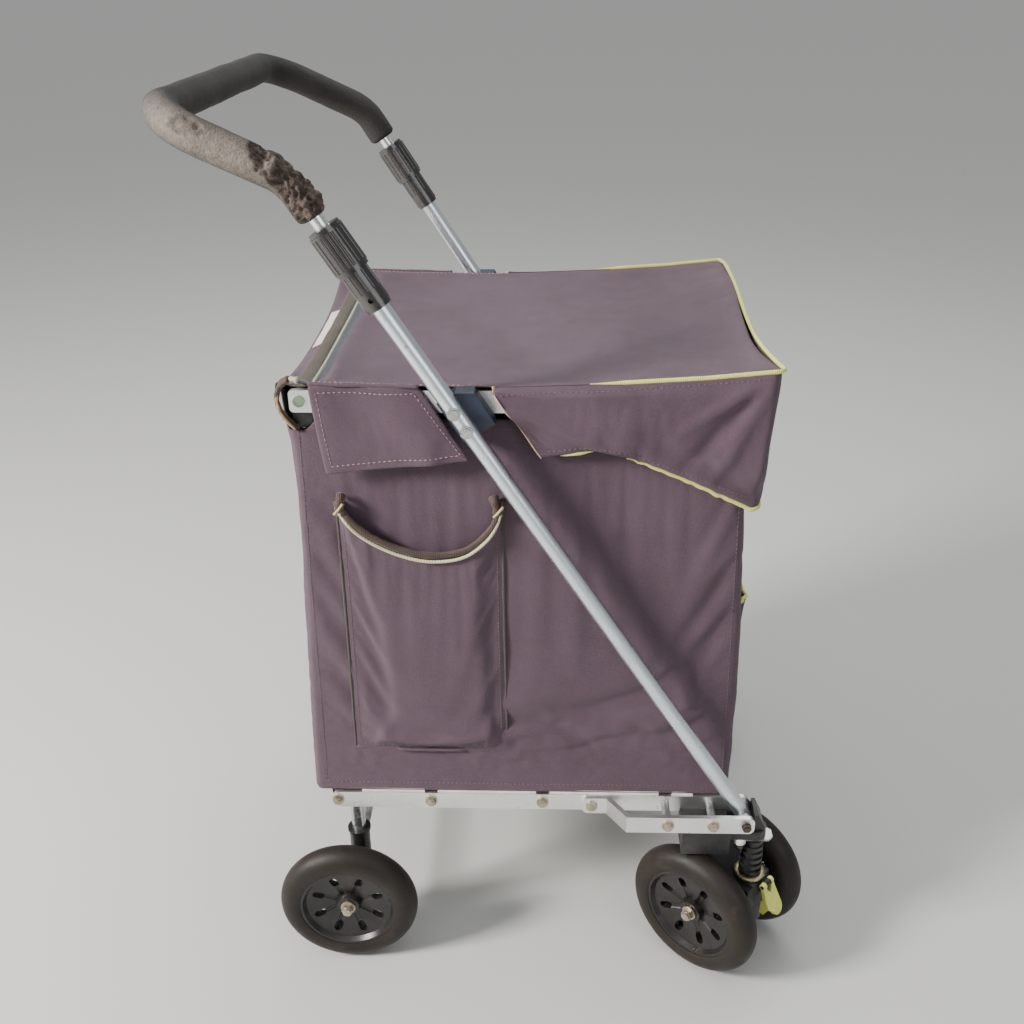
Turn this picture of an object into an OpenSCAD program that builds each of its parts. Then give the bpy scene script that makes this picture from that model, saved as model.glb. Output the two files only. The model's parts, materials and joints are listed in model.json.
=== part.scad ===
/* [Footprint] */
// Distance from the middle of the footprint back to the rear axle
rear_axle_back = 192; // [180:1:205]
// Distance from the middle of the footprint forward to the tube feet
foot_forward = 230; // [222:1:236]
// Half the distance between the two long frame tubes
tube_half_span = 208; // [206:1:210]
// Height of the middle of the base rails
rail_z = 192; // [190:1:196]

/* [Frame tubes and handle] */
// Backward lean of the frame tubes, measured from upright
lean = 32.6; // [30:0.2:35]
// Outer diameter of the frame tubes
tube_d = 16; // [15:0.5:16.5]
// Outer diameter of the handle bar that telescopes in them
bar_d = 12.8; // [12:0.1:13]
// Length along the tube from the foot bolt to the handle bend
bend_along = 772; // [765:1:790]
// Angle through which the handle bends back at the top of the tubes
bend_angle = 32.9; // [28:0.1:38]
// Reach of the handle from that bend to its cross bar
handle_reach = 116; // [110:1:130]
// Outer diameter of the foam grip
foam_d = 30; // [26:1:34]

/* [Wheels] */
// Outer diameter of all six wheels
wheel_d = 150; // [146:1:151]
// Width of a tyre
tyre_w = 31; // [28:1:32]
// Diameter of the plastic hub inside the tyre
hub_d = 104; // [98:1:108]
// Half the distance between the rear wheels
rear_half_track = 224; // [224:1:230]
// Half the distance between the two wheels of a caster
twin_half_gap = 47; // [46:1:50]
// Distance that the caster wheels trail behind the swivel
trail = 36; // [34:1:38]
// Angle by which the right caster is turned in from straight ahead
caster_turn_right = 40; // [0:1:45]
// Angle by which the left caster is turned in from straight ahead
caster_turn_left = 6; // [0:1:45]

/* [Bag] */
// Length of the bag
bag_l = 428; // [420:2:430]
// Width of the bag
bag_w = 366; // [340:2:366]
// Height of the bag's side walls
bag_h = 426; // [400:2:427]
// Height of the top of the lid above the floor
lid_top = 667; // [666:1:680]
// Thickness of the lined bag cloth
cloth = 2; // [1.6:0.1:2.2]

/* [Hidden] */
$fn = 64;
LEFT = 1;
RIGHT = -1;

wheel_r = wheel_d / 2;
axle_x = -rear_axle_back;
foot_x = foot_forward;

// Base rails: flat bars on edge, with a joggled plate outside each front end
rail_h = 20;
rail_t = 5;
rail_in = 189;
rail_out = rail_in + rail_t;
plate_in = 222;
plate_out = plate_in + rail_t;
rail_back = -206;
joggle_start = 89;
joggle_end = 109;
plate_back = 61;
plate_front = foot_x + 8.5;
tie_xs = [-200, -100, 19, 149, 196];
slot_xs = [149, 196];
tie_r = 6;
spacer_r = 4.2;
bolt_r = 3;
bolt_clear = 0.1;

// Rear legs and axle
leg_x = axle_x + 9;
leg_y = 181.4;
leg_r = 7.5;
socket_r = 11;
socket_top = 143;
axle_r = 5;
axle_clear = 0.05;
nut_at = 9.4;

// Top frame
bar_in = 184;
bar_out = 189;
bar_z = 646;
bar_h = 21;
bar_back = -209;
bar_front = 219;
screw_x = -200;
front_rod_x = 208;
rod_r = 5;

// Bag cloth
bag_floor = 206;
flap_in = 190.6;
flap_out = 192;
hinge_x = -24;
hood_front = 225;

// Caster
swivel_x = foot_x + 12;
swivel_y = 213;
stem_r = 6;
block_bottom = 153;
arm_low = 171;
ring_z = 117;
pivot_x = -21.5;
pivot_z = 113;

// Tube frame: local z runs up along a frame tube from its foot bolt
bar_r = bar_d / 2;
bore_r = bar_r + 0.1;
sleeve_from = 648;
sleeve_to = 684;
collar_to = 726;
tube_end = 694;
bar_from = 552;
rivet_at = [518, 538];
foam_from = 736;
bend_r = 50;
corner_r = 45;

module on_side(side) {
  if (side == LEFT) children();
  else mirror([0, 1, 0]) children();
}

// A rod along Y, from y0 to y1
module rod_y(x, z, y0, y1, r) {
  translate([x, y1, z]) rotate([90, 0, 0]) cylinder(r = r, h = y1 - y0);
}

// Flat plate in the XZ plane, from y0 to y1
module plate_y(y0, y1) {
  translate([0, y1, 0]) rotate([90, 0, 0]) linear_extrude(y1 - y0) children();
}

// Rectangle with four round corners
module rounded(l, w, r) {
  square([l, w - 2 * r], center = true);
  square([l - 2 * r, w], center = true);
  for (sx = [-1, 1], sy = [-1, 1])
    translate([sx * (l / 2 - r), sy * (w / 2 - r)]) circle(r);
}

// Bar with round ends, centred on height z
module stadium(x0, x1, z, h) {
  translate([x0 + h / 2, z - h / 2]) square([x1 - x0 - h, h]);
  for (x = [x0 + h / 2, x1 - h / 2]) translate([x, z]) circle(h / 2);
}

// Bar with its four corners rounded to radius r, centred on height z
module bar(x0, x1, z, h, r) {
  translate([(x0 + x1) / 2, z]) rounded(x1 - x0, h, r);
}

// Domed bolt with its washer, entering from y inwards
module bolt(x, z, y, reach, washer = 6.4) {
  rod_y(x, z, y - reach, y + 1, bolt_r);
  rod_y(x, z, y, y + 1.5, washer);
  translate([x, y + 4.5, z]) rotate([90, 0, 0]) cylinder(r = 4.9, h = 3.5, $fn = 6);
  rod_y(x, z, y + 4, y + 5.5, 2.8);
}

module base_rail(side) {
  color("silver") on_side(side) difference() {
    plate_y(rail_in, rail_out) stadium(rail_back, foot_x + rail_h / 2, rail_z, rail_h);
    for (x = concat(tie_xs, [foot_x, 71]))
      rod_y(x, rail_z, rail_in - 1, rail_out + 1, bolt_r + bolt_clear);
  }
}

module joggle_plate(side) {
  outline = [
    [plate_back, rail_out], [joggle_start, rail_out], [joggle_end, plate_in],
    [plate_front, plate_in], [plate_front, plate_out],
    [joggle_end - 3, plate_out], [joggle_start - 3, rail_out + rail_t], [plate_back, rail_out + rail_t]
  ];
  color("silver") on_side(side) difference() {
    intersection() {
      translate([0, 0, rail_z - rail_h / 2]) linear_extrude(rail_h) polygon(outline);
      plate_y(rail_in, plate_out + 1) bar(plate_back, plate_front, rail_z, rail_h, 6);
    }
    rod_y(71, rail_z, rail_in, plate_in, bolt_r + bolt_clear);
    for (x = concat(slot_xs, [foot_x]))
      rod_y(x, rail_z, plate_in - 1, plate_out + 1, bolt_r + bolt_clear);
  }
}

module cross_tubes() {
  color("gray") for (x = tie_xs) difference() {
    rod_y(x, rail_z, -rail_in, rail_in, tie_r);
    for (s = [LEFT, RIGHT]) on_side(s) rod_y(x, rail_z, rail_in - 22, rail_in + 1, bolt_r + bolt_clear);
  }
}

module base_bolts() {
  color("goldenrod") for (s = [LEFT, RIGHT]) on_side(s) {
    for (x = [tie_xs[0], tie_xs[1], tie_xs[2]]) bolt(x, rail_z, rail_out, 25);
    for (x = slot_xs) bolt(x, rail_z, plate_out, 58);
    bolt(foot_x, rail_z, plate_out, 46, 5);
    rod_y(71, rail_z, rail_in - 2, rail_out + rail_t + 1, bolt_r);
    rod_y(71, rail_z, rail_out + rail_t, rail_out + rail_t + 2, 6);
    rod_y(71, rail_z, rail_in - 2, rail_in, 6);
  }
}

module slot_spacers() {
  color("gray") for (s = [LEFT, RIGHT]) on_side(s) {
    for (x = slot_xs) difference() {
      rod_y(x, rail_z, rail_out, plate_in, spacer_r);
      rod_y(x, rail_z, rail_out - 1, plate_in + 1, bolt_r + bolt_clear);
    }
    beside_tube = tube_d / 2 + 0.2;
    for (ys = [[rail_out, tube_half_span - beside_tube], [tube_half_span + beside_tube, plate_in]])
      difference() {
        rod_y(foot_x, rail_z, ys[0], ys[1], 8);
        rod_y(foot_x, rail_z, ys[0] - 1, ys[1] + 1, bolt_r + bolt_clear);
      }
  }
}

module base_slats() {
  gap = tie_r + 1;
  color("lightgray") for (i = [0:3]) {
    x0 = tie_xs[i] + (i == 0 ? 26 : gap);
    x1 = tie_xs[i + 1] - (i == 3 ? 18 : gap);
    half = rail_in - 0.5;
    lip = rail_in + 2.5;
    rail_top = rail_z + rail_h / 2;
    translate([x0, -lip, rail_top]) cube([x1 - x0, 2 * lip, bag_floor - rail_top]);
    for (x = [x0, x1 - 3]) translate([x, -half, rail_z - 2]) cube([3, 2 * half, rail_h / 2 + 2.5]);
  }
}

module rear_leg(side) {
  color("slategray") on_side(side) difference() {
    translate([leg_x, leg_y, 100]) cylinder(r = leg_r, h = rail_z + 4 - 100);
    rod_y(leg_x, 164, leg_y - 10, leg_y + 10, 2.6);
  }
}

module rear_socket(side) {
  color("dimgray") on_side(side) difference() {
    union() {
      translate([leg_x, leg_y, wheel_r]) cylinder(r = socket_r, h = socket_top - wheel_r);
      translate([leg_x, leg_y, socket_top - 3]) cylinder(r = socket_r + 1.5, h = 3);
      translate([axle_x - 14, leg_y - 11, wheel_r - 16]) cube([33, 22, 32]);
      rod_y(axle_x, wheel_r, leg_y - 11, rear_half_track - tyre_w / 2 - 1, 12);
    }
    translate([leg_x, leg_y, 100]) cylinder(r = leg_r + 0.05, h = 60);
    rod_y(axle_x, wheel_r, leg_y - 20, rear_half_track, axle_r + axle_clear);
  }
}

module rear_axle() {
  end = rear_half_track + nut_at + 4.8;
  color("gray") rod_y(axle_x, wheel_r, -end, end, axle_r);
}

// Domed nut on the end of an axle that ends at y, inside local frame of the axle
module hub_nut(y) {
  difference() {
    union() {
      translate([0, y, 0]) rotate([-90, 0, 0]) cylinder(r = 8, h = 1.6);
      translate([0, y + 1.6, 0]) rotate([-90, 0, 0]) cylinder(r = 6.4, h = 5, $fn = 6);
      translate([0, y + 6.6, 0]) rotate([-90, 0, 0]) cylinder(r = 4.6, h = 2.6);
    }
    translate([0, y - 1, 0]) rotate([-90, 0, 0]) cylinder(r = axle_r + 0.02, h = 6);
  }
}

module rear_hub_nuts() {
  color("goldenrod") for (s = [LEFT, RIGHT])
    on_side(s) translate([axle_x, 0, wheel_r]) hub_nut(rear_half_track + nut_at);
}

// Tyre of full round section about the local Y axis
module tyre() {
  color([0.2, 0.18, 0.17]) rotate([90, 0, 0]) rotate_extrude($fn = 96) difference() {
    translate([wheel_r - tyre_w / 2, 0]) circle(tyre_w / 2);
    translate([0, -tyre_w]) square([hub_d / 2, 2 * tyre_w]);
  }
}

// Dished hub with eight oval holes; its hollow face looks along local +Y
module hub() {
  rim = hub_d / 2;
  section = [
    [axle_r + axle_clear, -13], [13, -13], [13, -6], [rim - 9, 0], [rim - 7, -13], [rim, -13],
    [rim, 13], [rim - 3, 13], [rim - 6, 8], [14, 3], [12, 9], [axle_r + axle_clear, 9]
  ];
  color([0.12, 0.12, 0.13]) difference() {
    rotate([-90, 0, 0]) rotate_extrude($fn = 96) polygon(section);
    for (i = [0:7]) rotate([0, i * 45 + 22.5, 0]) {
      for (x = [32, 37]) translate([x, 20, 0]) rotate([90, 0, 0]) cylinder(r = 4.2, h = 40, $fn = 24);
      translate([32, -20, -4.2]) cube([5, 40, 8.4]);
      translate([13, 5.8, 0]) rotate([0, 0, 8.9]) rotate([0, 90, 0]) cylinder(r = 4.2, h = 22, $fn = 24);
    }
  }
}

module at_rear_wheel(side) {
  on_side(side) translate([axle_x, rear_half_track, wheel_r]) children();
}

module caster_block(side) {
  back = 165;
  slab_front = swivel_x - 27;
  rail_low = rail_z - rail_h / 2;
  fit = 0.3;
  slot = plate_in - rail_out - 2 * fit;
  color([0.15, 0.15, 0.15]) on_side(side) difference() {
    union() {
      translate([back, rail_in, block_bottom])
        cube([slab_front - back, plate_out - rail_in, rail_low - block_bottom]);
      translate([back, rail_out + fit, block_bottom]) cube([slab_front - back - 2, slot, 32.5]);
      translate([slab_front - 10, swivel_y - 11, arm_low])
        cube([swivel_x - slab_front + 10, 22, rail_low - arm_low]);
      translate([swivel_x, swivel_y, arm_low]) cylinder(r = 12, h = rail_low - arm_low);
      translate([foot_x + 9, 0, arm_low + 1]) plate_y(rail_out + fit, rail_out + fit + slot)
        polygon([[0, 0], [11, 0], [11, 15], [4, 30], [0, 30]]);
    }
    translate([swivel_x, swivel_y, arm_low - 1]) cylinder(r = stem_r + 0.05, h = 5);
  }
}

// Ribbed housing under the block, with the swivel stem's bore through it
module caster_housing(side) {
  color([0.1, 0.1, 0.1]) on_side(side) translate([swivel_x, swivel_y, 0]) {
    difference() {
      union() {
        translate([0, 0, ring_z + 2.5]) cylinder(r = 9.5, h = arm_low - ring_z - 2.5);
        for (i = [0:5]) translate([0, 0, ring_z + 4 + i * 8.2]) cylinder(r = 12.2 - 0.3 * i, h = 4.2);
      }
      translate([0, 0, ring_z]) cylinder(r = stem_r + 0.05, h = 70);
    }
  }
}

module main_tube(side) {
  color("lightsteelblue") on_side(side) difference() {
    translate([foot_x, tube_half_span, rail_z]) rotate([0, -lean, 0]) difference() {
      union() {
        cylinder(d = tube_d, h = tube_end);
        sphere(d = tube_d);
      }
      translate([0, 0, 30]) cylinder(r = bore_r, h = tube_end);
    }
    rod_y(foot_x, rail_z, rail_in, plate_out, bolt_r + bolt_clear);
    rivet_holes();
  }
}

module in_tube_frame() {
  translate([foot_x, tube_half_span, rail_z]) rotate([0, -lean, 0]) children();
}

// Fixed sleeve at the top of the frame tube, with a pin hole and grip flutes
module lower_sleeve(side) {
  color([0.2, 0.19, 0.18]) on_side(side) in_tube_frame() difference() {
    union() {
      translate([0, 0, sleeve_from]) cylinder(r = 11.6, h = 3);
      translate([0, 0, sleeve_from + 3]) cylinder(r = 12.4, h = sleeve_to - sleeve_from - 3.2);
    }
    translate([0, 0, sleeve_from - 1]) cylinder(d = tube_d, h = 60);
    for (i = [0:11]) rotate([0, 0, i * 30 + 15])
      translate([13.4, 0, sleeve_from + 17]) cylinder(r = 1.8, h = 30, $fn = 16);
    translate([0, 20, sleeve_from + 10]) rotate([90, 0, 0]) cylinder(r = 2.4, h = 12);
  }
}

module twist_collar(side) {
  color([0.2, 0.19, 0.18]) on_side(side) in_tube_frame() difference() {
    union() {
      translate([0, 0, sleeve_to]) cylinder(r = 14.6, h = 3);
      translate([0, 0, sleeve_to + 3]) cylinder(r = 15.4, h = collar_to - sleeve_to - 6);
      translate([0, 0, collar_to - 3]) cylinder(r = 14.4, h = 3);
    }
    translate([0, 0, sleeve_to - 1]) cylinder(r = tube_d / 2 + 0.1, h = tube_end - sleeve_to + 1.5);
    translate([0, 0, sleeve_to]) cylinder(r = bar_r + 0.1, h = 60);
    for (i = [0:17]) rotate([0, 0, i * 20])
      translate([16.2, 0, sleeve_to + 5]) cylinder(r = 1.7, h = collar_to - sleeve_to - 10, $fn = 16);
  }
}

// Clip that joins a frame tube to the top bar
module frame_bracket(side) {
  color([0.13, 0.17, 0.27]) on_side(side) difference() {
    in_tube_frame() translate([-10, bar_out - tube_half_span, 508]) cube([33, 18.4, 43]);
    translate([-100, bar_in, 661]) cube([100, 40, 20]);
    in_tube_frame() translate([0, 0, 480]) cylinder(d = tube_d, h = 100);
    rivet_holes();
  }
}

module rivet_holes() {
  in_tube_frame() for (s = rivet_at) translate([0, 20, s]) rotate([90, 0, 0]) cylinder(r = 3.1, h = 60);
}

module bracket_rivets() {
  color("silver") for (side = [LEFT, RIGHT]) on_side(side) in_tube_frame() for (s = rivet_at) {
    translate([0, tube_d / 2 + 1, s]) rotate([90, 0, 0]) cylinder(r = 3, h = tube_d + 17);
    translate([0, tube_d / 2 + 0.2, s]) rotate([-90, 0, 0]) cylinder(r = 6, h = 1.6);
    translate([0, tube_d / 2 + 1.6, s]) rotate([-90, 0, 0]) cylinder(r = 4.2, h = 1.4);
  }
}

module top_bar(side) {
  color("silver") on_side(side) difference() {
    plate_y(bar_in, bar_out) bar(bar_back, bar_front, bar_z, bar_h, 4);
    for (x = [screw_x, front_rod_x]) rod_y(x, bar_z, bar_in - 1, bar_out + 1, 3.1);
    rivet_holes();
  }
}

module top_rod(x, half) {
  color("gray") difference() {
    rod_y(x, bar_z, -half, half, rod_r);
    for (s = [LEFT, RIGHT]) on_side(s) rod_y(x, bar_z, half - 16, half + 1, 3.1);
  }
}

module top_bar_screws() {
  color("olivedrab") for (s = [LEFT, RIGHT]) on_side(s) for (x = [screw_x, front_rod_x]) {
    rod_y(x, bar_z, x == screw_x ? 162 : 170, bar_out + 0.5, 3);
    rod_y(x, bar_z, bar_out, bar_out + 1.4, 5.2);
  }
}

// Upright inside each rear corner of the bag, from the rear cross tube to the top bar's screw
module rear_upright(side) {
  color([0.12, 0.12, 0.12]) on_side(side) difference() {
    plate_y(176, 180) union() {
      translate([screw_x - 9, rail_z]) square([18, bar_z - rail_z]);
      for (z = [rail_z, bar_z]) translate([screw_x, z]) circle(9);
    }
    rod_y(screw_x, rail_z, 170, 190, tie_r + 0.05);
    rod_y(screw_x, bar_z, 170, 190, 3.1);
  }
}

// Its rear wall stands up behind the rear rod as a lip
module bag_body() {
  lip_w = 330;
  lip_h = 20;
  color([0.33, 0.27, 0.33]) {
    difference() {
      translate([0, 0, bag_floor]) linear_extrude(bag_h) rounded(bag_l, bag_w, 5);
      translate([0, 0, bag_floor + cloth]) linear_extrude(bag_h)
        rounded(bag_l - 2 * cloth, bag_w - 2 * cloth, 3);
      for (s = [LEFT, RIGHT]) on_side(s)
        translate([screw_x - 10, 175.5, bag_floor - 1]) cube([20, 5, cloth + 2]);
    }
    translate([-bag_l / 2, -lip_w / 2, bag_floor + bag_h - 1]) cube([cloth, lip_w, lip_h + 1]);
  }
}

module bag_base_board() {
  notch = 13;
  color("dimgray") translate([0, 0, bag_floor + cloth]) difference() {
    linear_extrude(4) rounded(bag_l - 8, bag_w - 8, 14);
    for (s = [LEFT, RIGHT]) on_side(s)
      translate([screw_x - 20, 175.5 - 1, -1]) cube([20 + notch, 20, 6]);
  }
}

// Open-topped pocket with a scooped mouth, sewn on the bag's right side
module side_pocket() {
  x0 = -174;
  x1 = -20;
  z0 = 251;
  z1 = 545;
  out = bag_w / 2 + 15.6;
  color([0.31, 0.25, 0.31]) difference() {
    translate([x0, -out, z0]) cube([x1 - x0, out - bag_w / 2, z1 - z0]);
    translate([x0 + cloth, -out + cloth, z0 + cloth]) cube([x1 - x0 - 2 * cloth, out - bag_w / 2, z1 - z0]);
    rod_y((x0 + x1) / 2, z1 + 16, -out - 1, -out + cloth + 1, 77);
  }
}

module front_pocket() {
  x0 = bag_l / 2;
  depth = 12;
  half = 128;
  z0 = 250;
  h = 160;
  color([0.31, 0.25, 0.31]) difference() {
    translate([x0, -half, z0]) cube([depth, 2 * half, h]);
    translate([x0 - 1, -half + cloth, z0 + cloth]) cube([depth + 1 - cloth, 2 * (half - cloth), h]);
  }
}

// Fixed front part of the cover: top panel, front and two cut-away sides
module hood() {
  side_outline = [
    [hinge_x + 0.5, lid_top - cloth], [hinge_x + 0.5, 657], [15, 592], [69, 602], [94, 594], [161, 567],
    [hood_front, 543], [hood_front, lid_top - cloth]
  ];
  color([0.35, 0.29, 0.35]) {
    translate([hinge_x + 0.5, -flap_out, lid_top - cloth])
      cube([hood_front - hinge_x - 0.5, 2 * flap_out, cloth]);
    for (s = [LEFT, RIGHT]) on_side(s) plate_y(flap_in, flap_out) polygon(side_outline);
    translate([hood_front - cloth, -flap_out, 543]) cube([cloth, 2 * flap_out, lid_top - 543]);
  }
}

// Rear part of the cover, which lifts, with a flap down each side
module lid_flap() {
  lid_back = -202;
  flap_outline = [[-191, lid_top - cloth], [-96, lid_top - cloth], [-49, 592], [-181, 576]];
  color([0.35, 0.29, 0.35]) {
    translate([lid_back, -flap_out, lid_top - cloth]) cube([hinge_x - lid_back, 2 * flap_out, cloth]);
    for (s = [LEFT, RIGHT]) on_side(s) plate_y(flap_in, flap_out) polygon(flap_outline);
  }
}

// The handle's left half about its own path, from a start along the tube. Its elbows are
// a hair fatter than its straights, which run a little way into them
module handle_half(r, from, with_cross_bar) {
  turn = bend_angle / 2;
  bend_z = bend_along - bend_r * tan(turn);
  arm = handle_reach - bend_r * tan(turn) - corner_r;
  elbow_r = r + 0.05;
  into = 1;
  in_tube_frame() {
    translate([0, 0, from]) cylinder(r = r, h = bend_z - from + into);
    translate([-bend_r, 0, bend_z]) {
      rotate([90, 0, 0]) rotate_extrude(angle = bend_angle) translate([bend_r, 0]) circle(elbow_r);
      rotate([0, -bend_angle, 0]) translate([bend_r, 0, 0]) {
        translate([0, 0, -into]) cylinder(r = r, h = arm + 2 * into);
        translate([0, -corner_r, arm]) rotate([90, 0, 90]) rotate_extrude(angle = 90)
          translate([corner_r, 0]) circle(elbow_r);
        if (with_cross_bar) translate([0, corner_r - 2 * tube_half_span - into, arm + corner_r])
          rotate([-90, 0, 0]) cylinder(r = r, h = 2 * (tube_half_span - corner_r + into));
      }
    }
  }
}

module handle_path(r, from) {
  handle_half(r, from, true);
  mirror([0, 1, 0]) handle_half(r, from, false);
}

module handle_bar() {
  color("silver") handle_path(bar_r, bar_from);
}

module foam_grip() {
  color([0.22, 0.2, 0.2]) difference() {
    handle_path(foam_d / 2, foam_from);
    handle_path(bar_r, foam_from - 5);
  }
}

// Local frame of a caster: origin under its swivel, +X the way its wheels trail
module at_caster(side) {
  turn = side == LEFT ? caster_turn_left : caster_turn_right;
  on_side(side) translate([swivel_x, swivel_y, 0]) rotate([0, 0, turn - 180]) children();
}

module caster_yoke(side) {
  web = [[-10, 60], [-14, 84], [-12, 110], [6, 112], [62, 146], [74, 140], [66, 100], [50, 62]];
  color([0.13, 0.13, 0.13]) at_caster(side) {
    difference() {
      union() {
        translate([0, 0, 58]) cylinder(r = 17, h = ring_z - 60);
        translate([0, 0, 100]) cylinder(r = stem_r, h = arm_low - 97);
        plate_y(-22, 22) polygon(web);
        rod_y(trail, wheel_r, -30.8, 30.8, 13);
        translate([pivot_x, -3.8, pivot_z - 12]) cube([14, 7.6, 12]);
        rod_y(pivot_x, pivot_z, -3.8, 3.8, 4.4);
      }
      rod_y(trail, wheel_r, -40, 40, axle_r + 0.02);
    }
    rod_y(pivot_x, pivot_z, -9.5, 9.5, 2);
  }
}

module caster_axle(side) {
  color("goldenrod") at_caster(side) translate([trail, 0, wheel_r]) {
    rotate([90, 0, 0]) cylinder(r = axle_r, h = 2 * (twin_half_gap + nut_at + 4.8), center = true);
    hub_nut(twin_half_gap + nut_at);
    mirror([0, 1, 0]) hub_nut(twin_half_gap + nut_at);
  }
}

// Outer is the wheel away from the middle of the trolley, inner the one towards it
module at_twin(side, outer) {
  at_caster(side) translate([trail, 0, wheel_r]) mirror([0, outer ? 1 : 0, 0])
    translate([0, twin_half_gap, 0]) children();
}

module lock_lever(side) {
  color([0.72, 0.75, 0.25]) at_caster(side) translate([pivot_x, 0, pivot_z]) difference() {
    union() {
      for (y = [-9, 4.2]) rod_y(0, 0, y, y + 4.8, 3.6);
      rotate([0, -65, 0]) {
        translate([0, 0, -2]) linear_extrude(4) {
          translate([-29, 2.5]) circle(9);
          polygon([
            [0, 4.2], [2, 9], [-12, 10], [-29, 11.5], [-36, 0], [-25, -12.5], [-14, -12.5], [2, -9],
            [0, -4.2], [-6, -4.2], [-11, 0], [-6, 4.2]
          ]);
        }
        plate_y(-12.5, -9.5) polygon([[-13, 1], [-15, -5], [-29, -12], [-32, -8], [-25, 1]]);
      }
    }
    rod_y(0, 0, -12, 12, 2.05);
  }
}

base_rail(LEFT);  // base_rail_left
base_rail(RIGHT);  // base_rail_right
joggle_plate(LEFT);  // joggle_plate_left
joggle_plate(RIGHT);  // joggle_plate_right
cross_tubes();
base_bolts();
slot_spacers();
base_slats();
rear_leg(LEFT);  // rear_leg_left
rear_leg(RIGHT);  // rear_leg_right
rear_socket(LEFT);  // rear_socket_left
rear_socket(RIGHT);  // rear_socket_right
rear_axle();
rear_hub_nuts();
caster_block(LEFT);  // caster_block_left
caster_block(RIGHT);  // caster_block_right
caster_housing(LEFT);  // caster_housing_left
caster_housing(RIGHT);  // caster_housing_right
main_tube(LEFT);  // main_tube_left
main_tube(RIGHT);  // main_tube_right
lower_sleeve(LEFT);  // lower_sleeve_left
lower_sleeve(RIGHT);  // lower_sleeve_right
frame_bracket(LEFT);  // frame_bracket_left
frame_bracket(RIGHT);  // frame_bracket_right
bracket_rivets();
top_bar(LEFT);  // top_bar_left
top_bar(RIGHT);  // top_bar_right
top_rod(screw_x, 176);  // top_rod_rear
top_rod(front_rod_x, bar_in);  // top_rod_front
top_bar_screws();
rear_upright(LEFT);  // rear_upright_left
rear_upright(RIGHT);  // rear_upright_right
bag_body();
bag_base_board();
side_pocket();
front_pocket();
hood();
lid_flap();
handle_bar();
foam_grip();
twist_collar(LEFT);  // twist_collar_left
twist_collar(RIGHT);  // twist_collar_right
at_rear_wheel(LEFT) tyre();  // rear_tyre_left
at_rear_wheel(RIGHT) tyre();  // rear_tyre_right
at_rear_wheel(LEFT) hub();  // rear_hub_left
at_rear_wheel(RIGHT) hub();  // rear_hub_right
caster_yoke(LEFT);  // caster_yoke_left
caster_yoke(RIGHT);  // caster_yoke_right
caster_axle(LEFT);  // caster_axle_left
caster_axle(RIGHT);  // caster_axle_right
at_twin(LEFT, true) tyre();  // caster_tyre_left_outer
at_twin(LEFT, false) tyre();  // caster_tyre_left_inner
at_twin(RIGHT, true) tyre();  // caster_tyre_right_outer
at_twin(RIGHT, false) tyre();  // caster_tyre_right_inner
at_twin(LEFT, true) hub();  // caster_hub_left_outer
at_twin(LEFT, false) hub();  // caster_hub_left_inner
at_twin(RIGHT, true) hub();  // caster_hub_right_outer
at_twin(RIGHT, false) hub();  // caster_hub_right_inner
lock_lever(LEFT);  // lock_lever_left
lock_lever(RIGHT);  // lock_lever_right
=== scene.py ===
import json
from math import atan2, cos, hypot, pi, radians, sin, tan

import bpy
import numpy as np
from numpy import array, interp, linspace
from mathutils import Matrix, Vector, noise
from mathutils.bvhtree import BVHTree


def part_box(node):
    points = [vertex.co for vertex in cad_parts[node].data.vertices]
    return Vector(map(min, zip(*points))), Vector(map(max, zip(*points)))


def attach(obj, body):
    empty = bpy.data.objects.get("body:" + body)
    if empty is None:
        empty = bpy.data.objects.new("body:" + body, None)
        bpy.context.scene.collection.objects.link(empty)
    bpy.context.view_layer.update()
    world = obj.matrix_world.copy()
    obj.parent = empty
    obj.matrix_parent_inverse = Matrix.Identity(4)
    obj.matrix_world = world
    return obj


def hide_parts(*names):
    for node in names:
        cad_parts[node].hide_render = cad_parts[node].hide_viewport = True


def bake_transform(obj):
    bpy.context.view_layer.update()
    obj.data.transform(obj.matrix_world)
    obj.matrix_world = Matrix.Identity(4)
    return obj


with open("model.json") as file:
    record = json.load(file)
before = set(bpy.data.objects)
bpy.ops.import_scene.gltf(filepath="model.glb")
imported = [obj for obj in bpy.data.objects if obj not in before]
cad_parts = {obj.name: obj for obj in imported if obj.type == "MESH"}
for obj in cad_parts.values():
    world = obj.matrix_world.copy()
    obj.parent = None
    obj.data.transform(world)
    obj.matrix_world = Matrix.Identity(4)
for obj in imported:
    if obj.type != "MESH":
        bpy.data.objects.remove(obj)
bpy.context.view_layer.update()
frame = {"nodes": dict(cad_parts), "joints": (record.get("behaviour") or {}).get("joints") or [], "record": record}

NODES = frame["nodes"]
SIDES = {"right": -1, "left": 1}


def placed(name, data):
    """A new object, linked to the scene."""
    thing = bpy.data.objects.new(name, data)
    bpy.context.scene.collection.objects.link(thing)
    return thing


# ------------ camera, floor and light

def make_camera():
    focal_px, frame_px, sensor = 1096.3, 1024, 36
    pitch, yaw, roll = (radians(a) for a in (27.13, -1.88, -0.51))
    forward = Vector((sin(yaw) * cos(pitch), cos(yaw) * cos(pitch), -sin(pitch)))
    level = forward.cross(Vector((0, 0, 1))).normalized()
    above = level.cross(forward)
    right = level * cos(roll) + above * sin(roll)
    up = above * cos(roll) - level * sin(roll)
    data = bpy.data.cameras.new("camera")
    data.sensor_width = sensor
    data.lens = sensor * focal_px / frame_px
    camera = placed("camera", data)
    camera.matrix_world = Matrix.Translation((0.0186, -1.0948, 1.0013)) @ \
        Matrix((right, up, -forward)).transposed().to_4x4()
    bpy.context.scene.camera = camera


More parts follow.
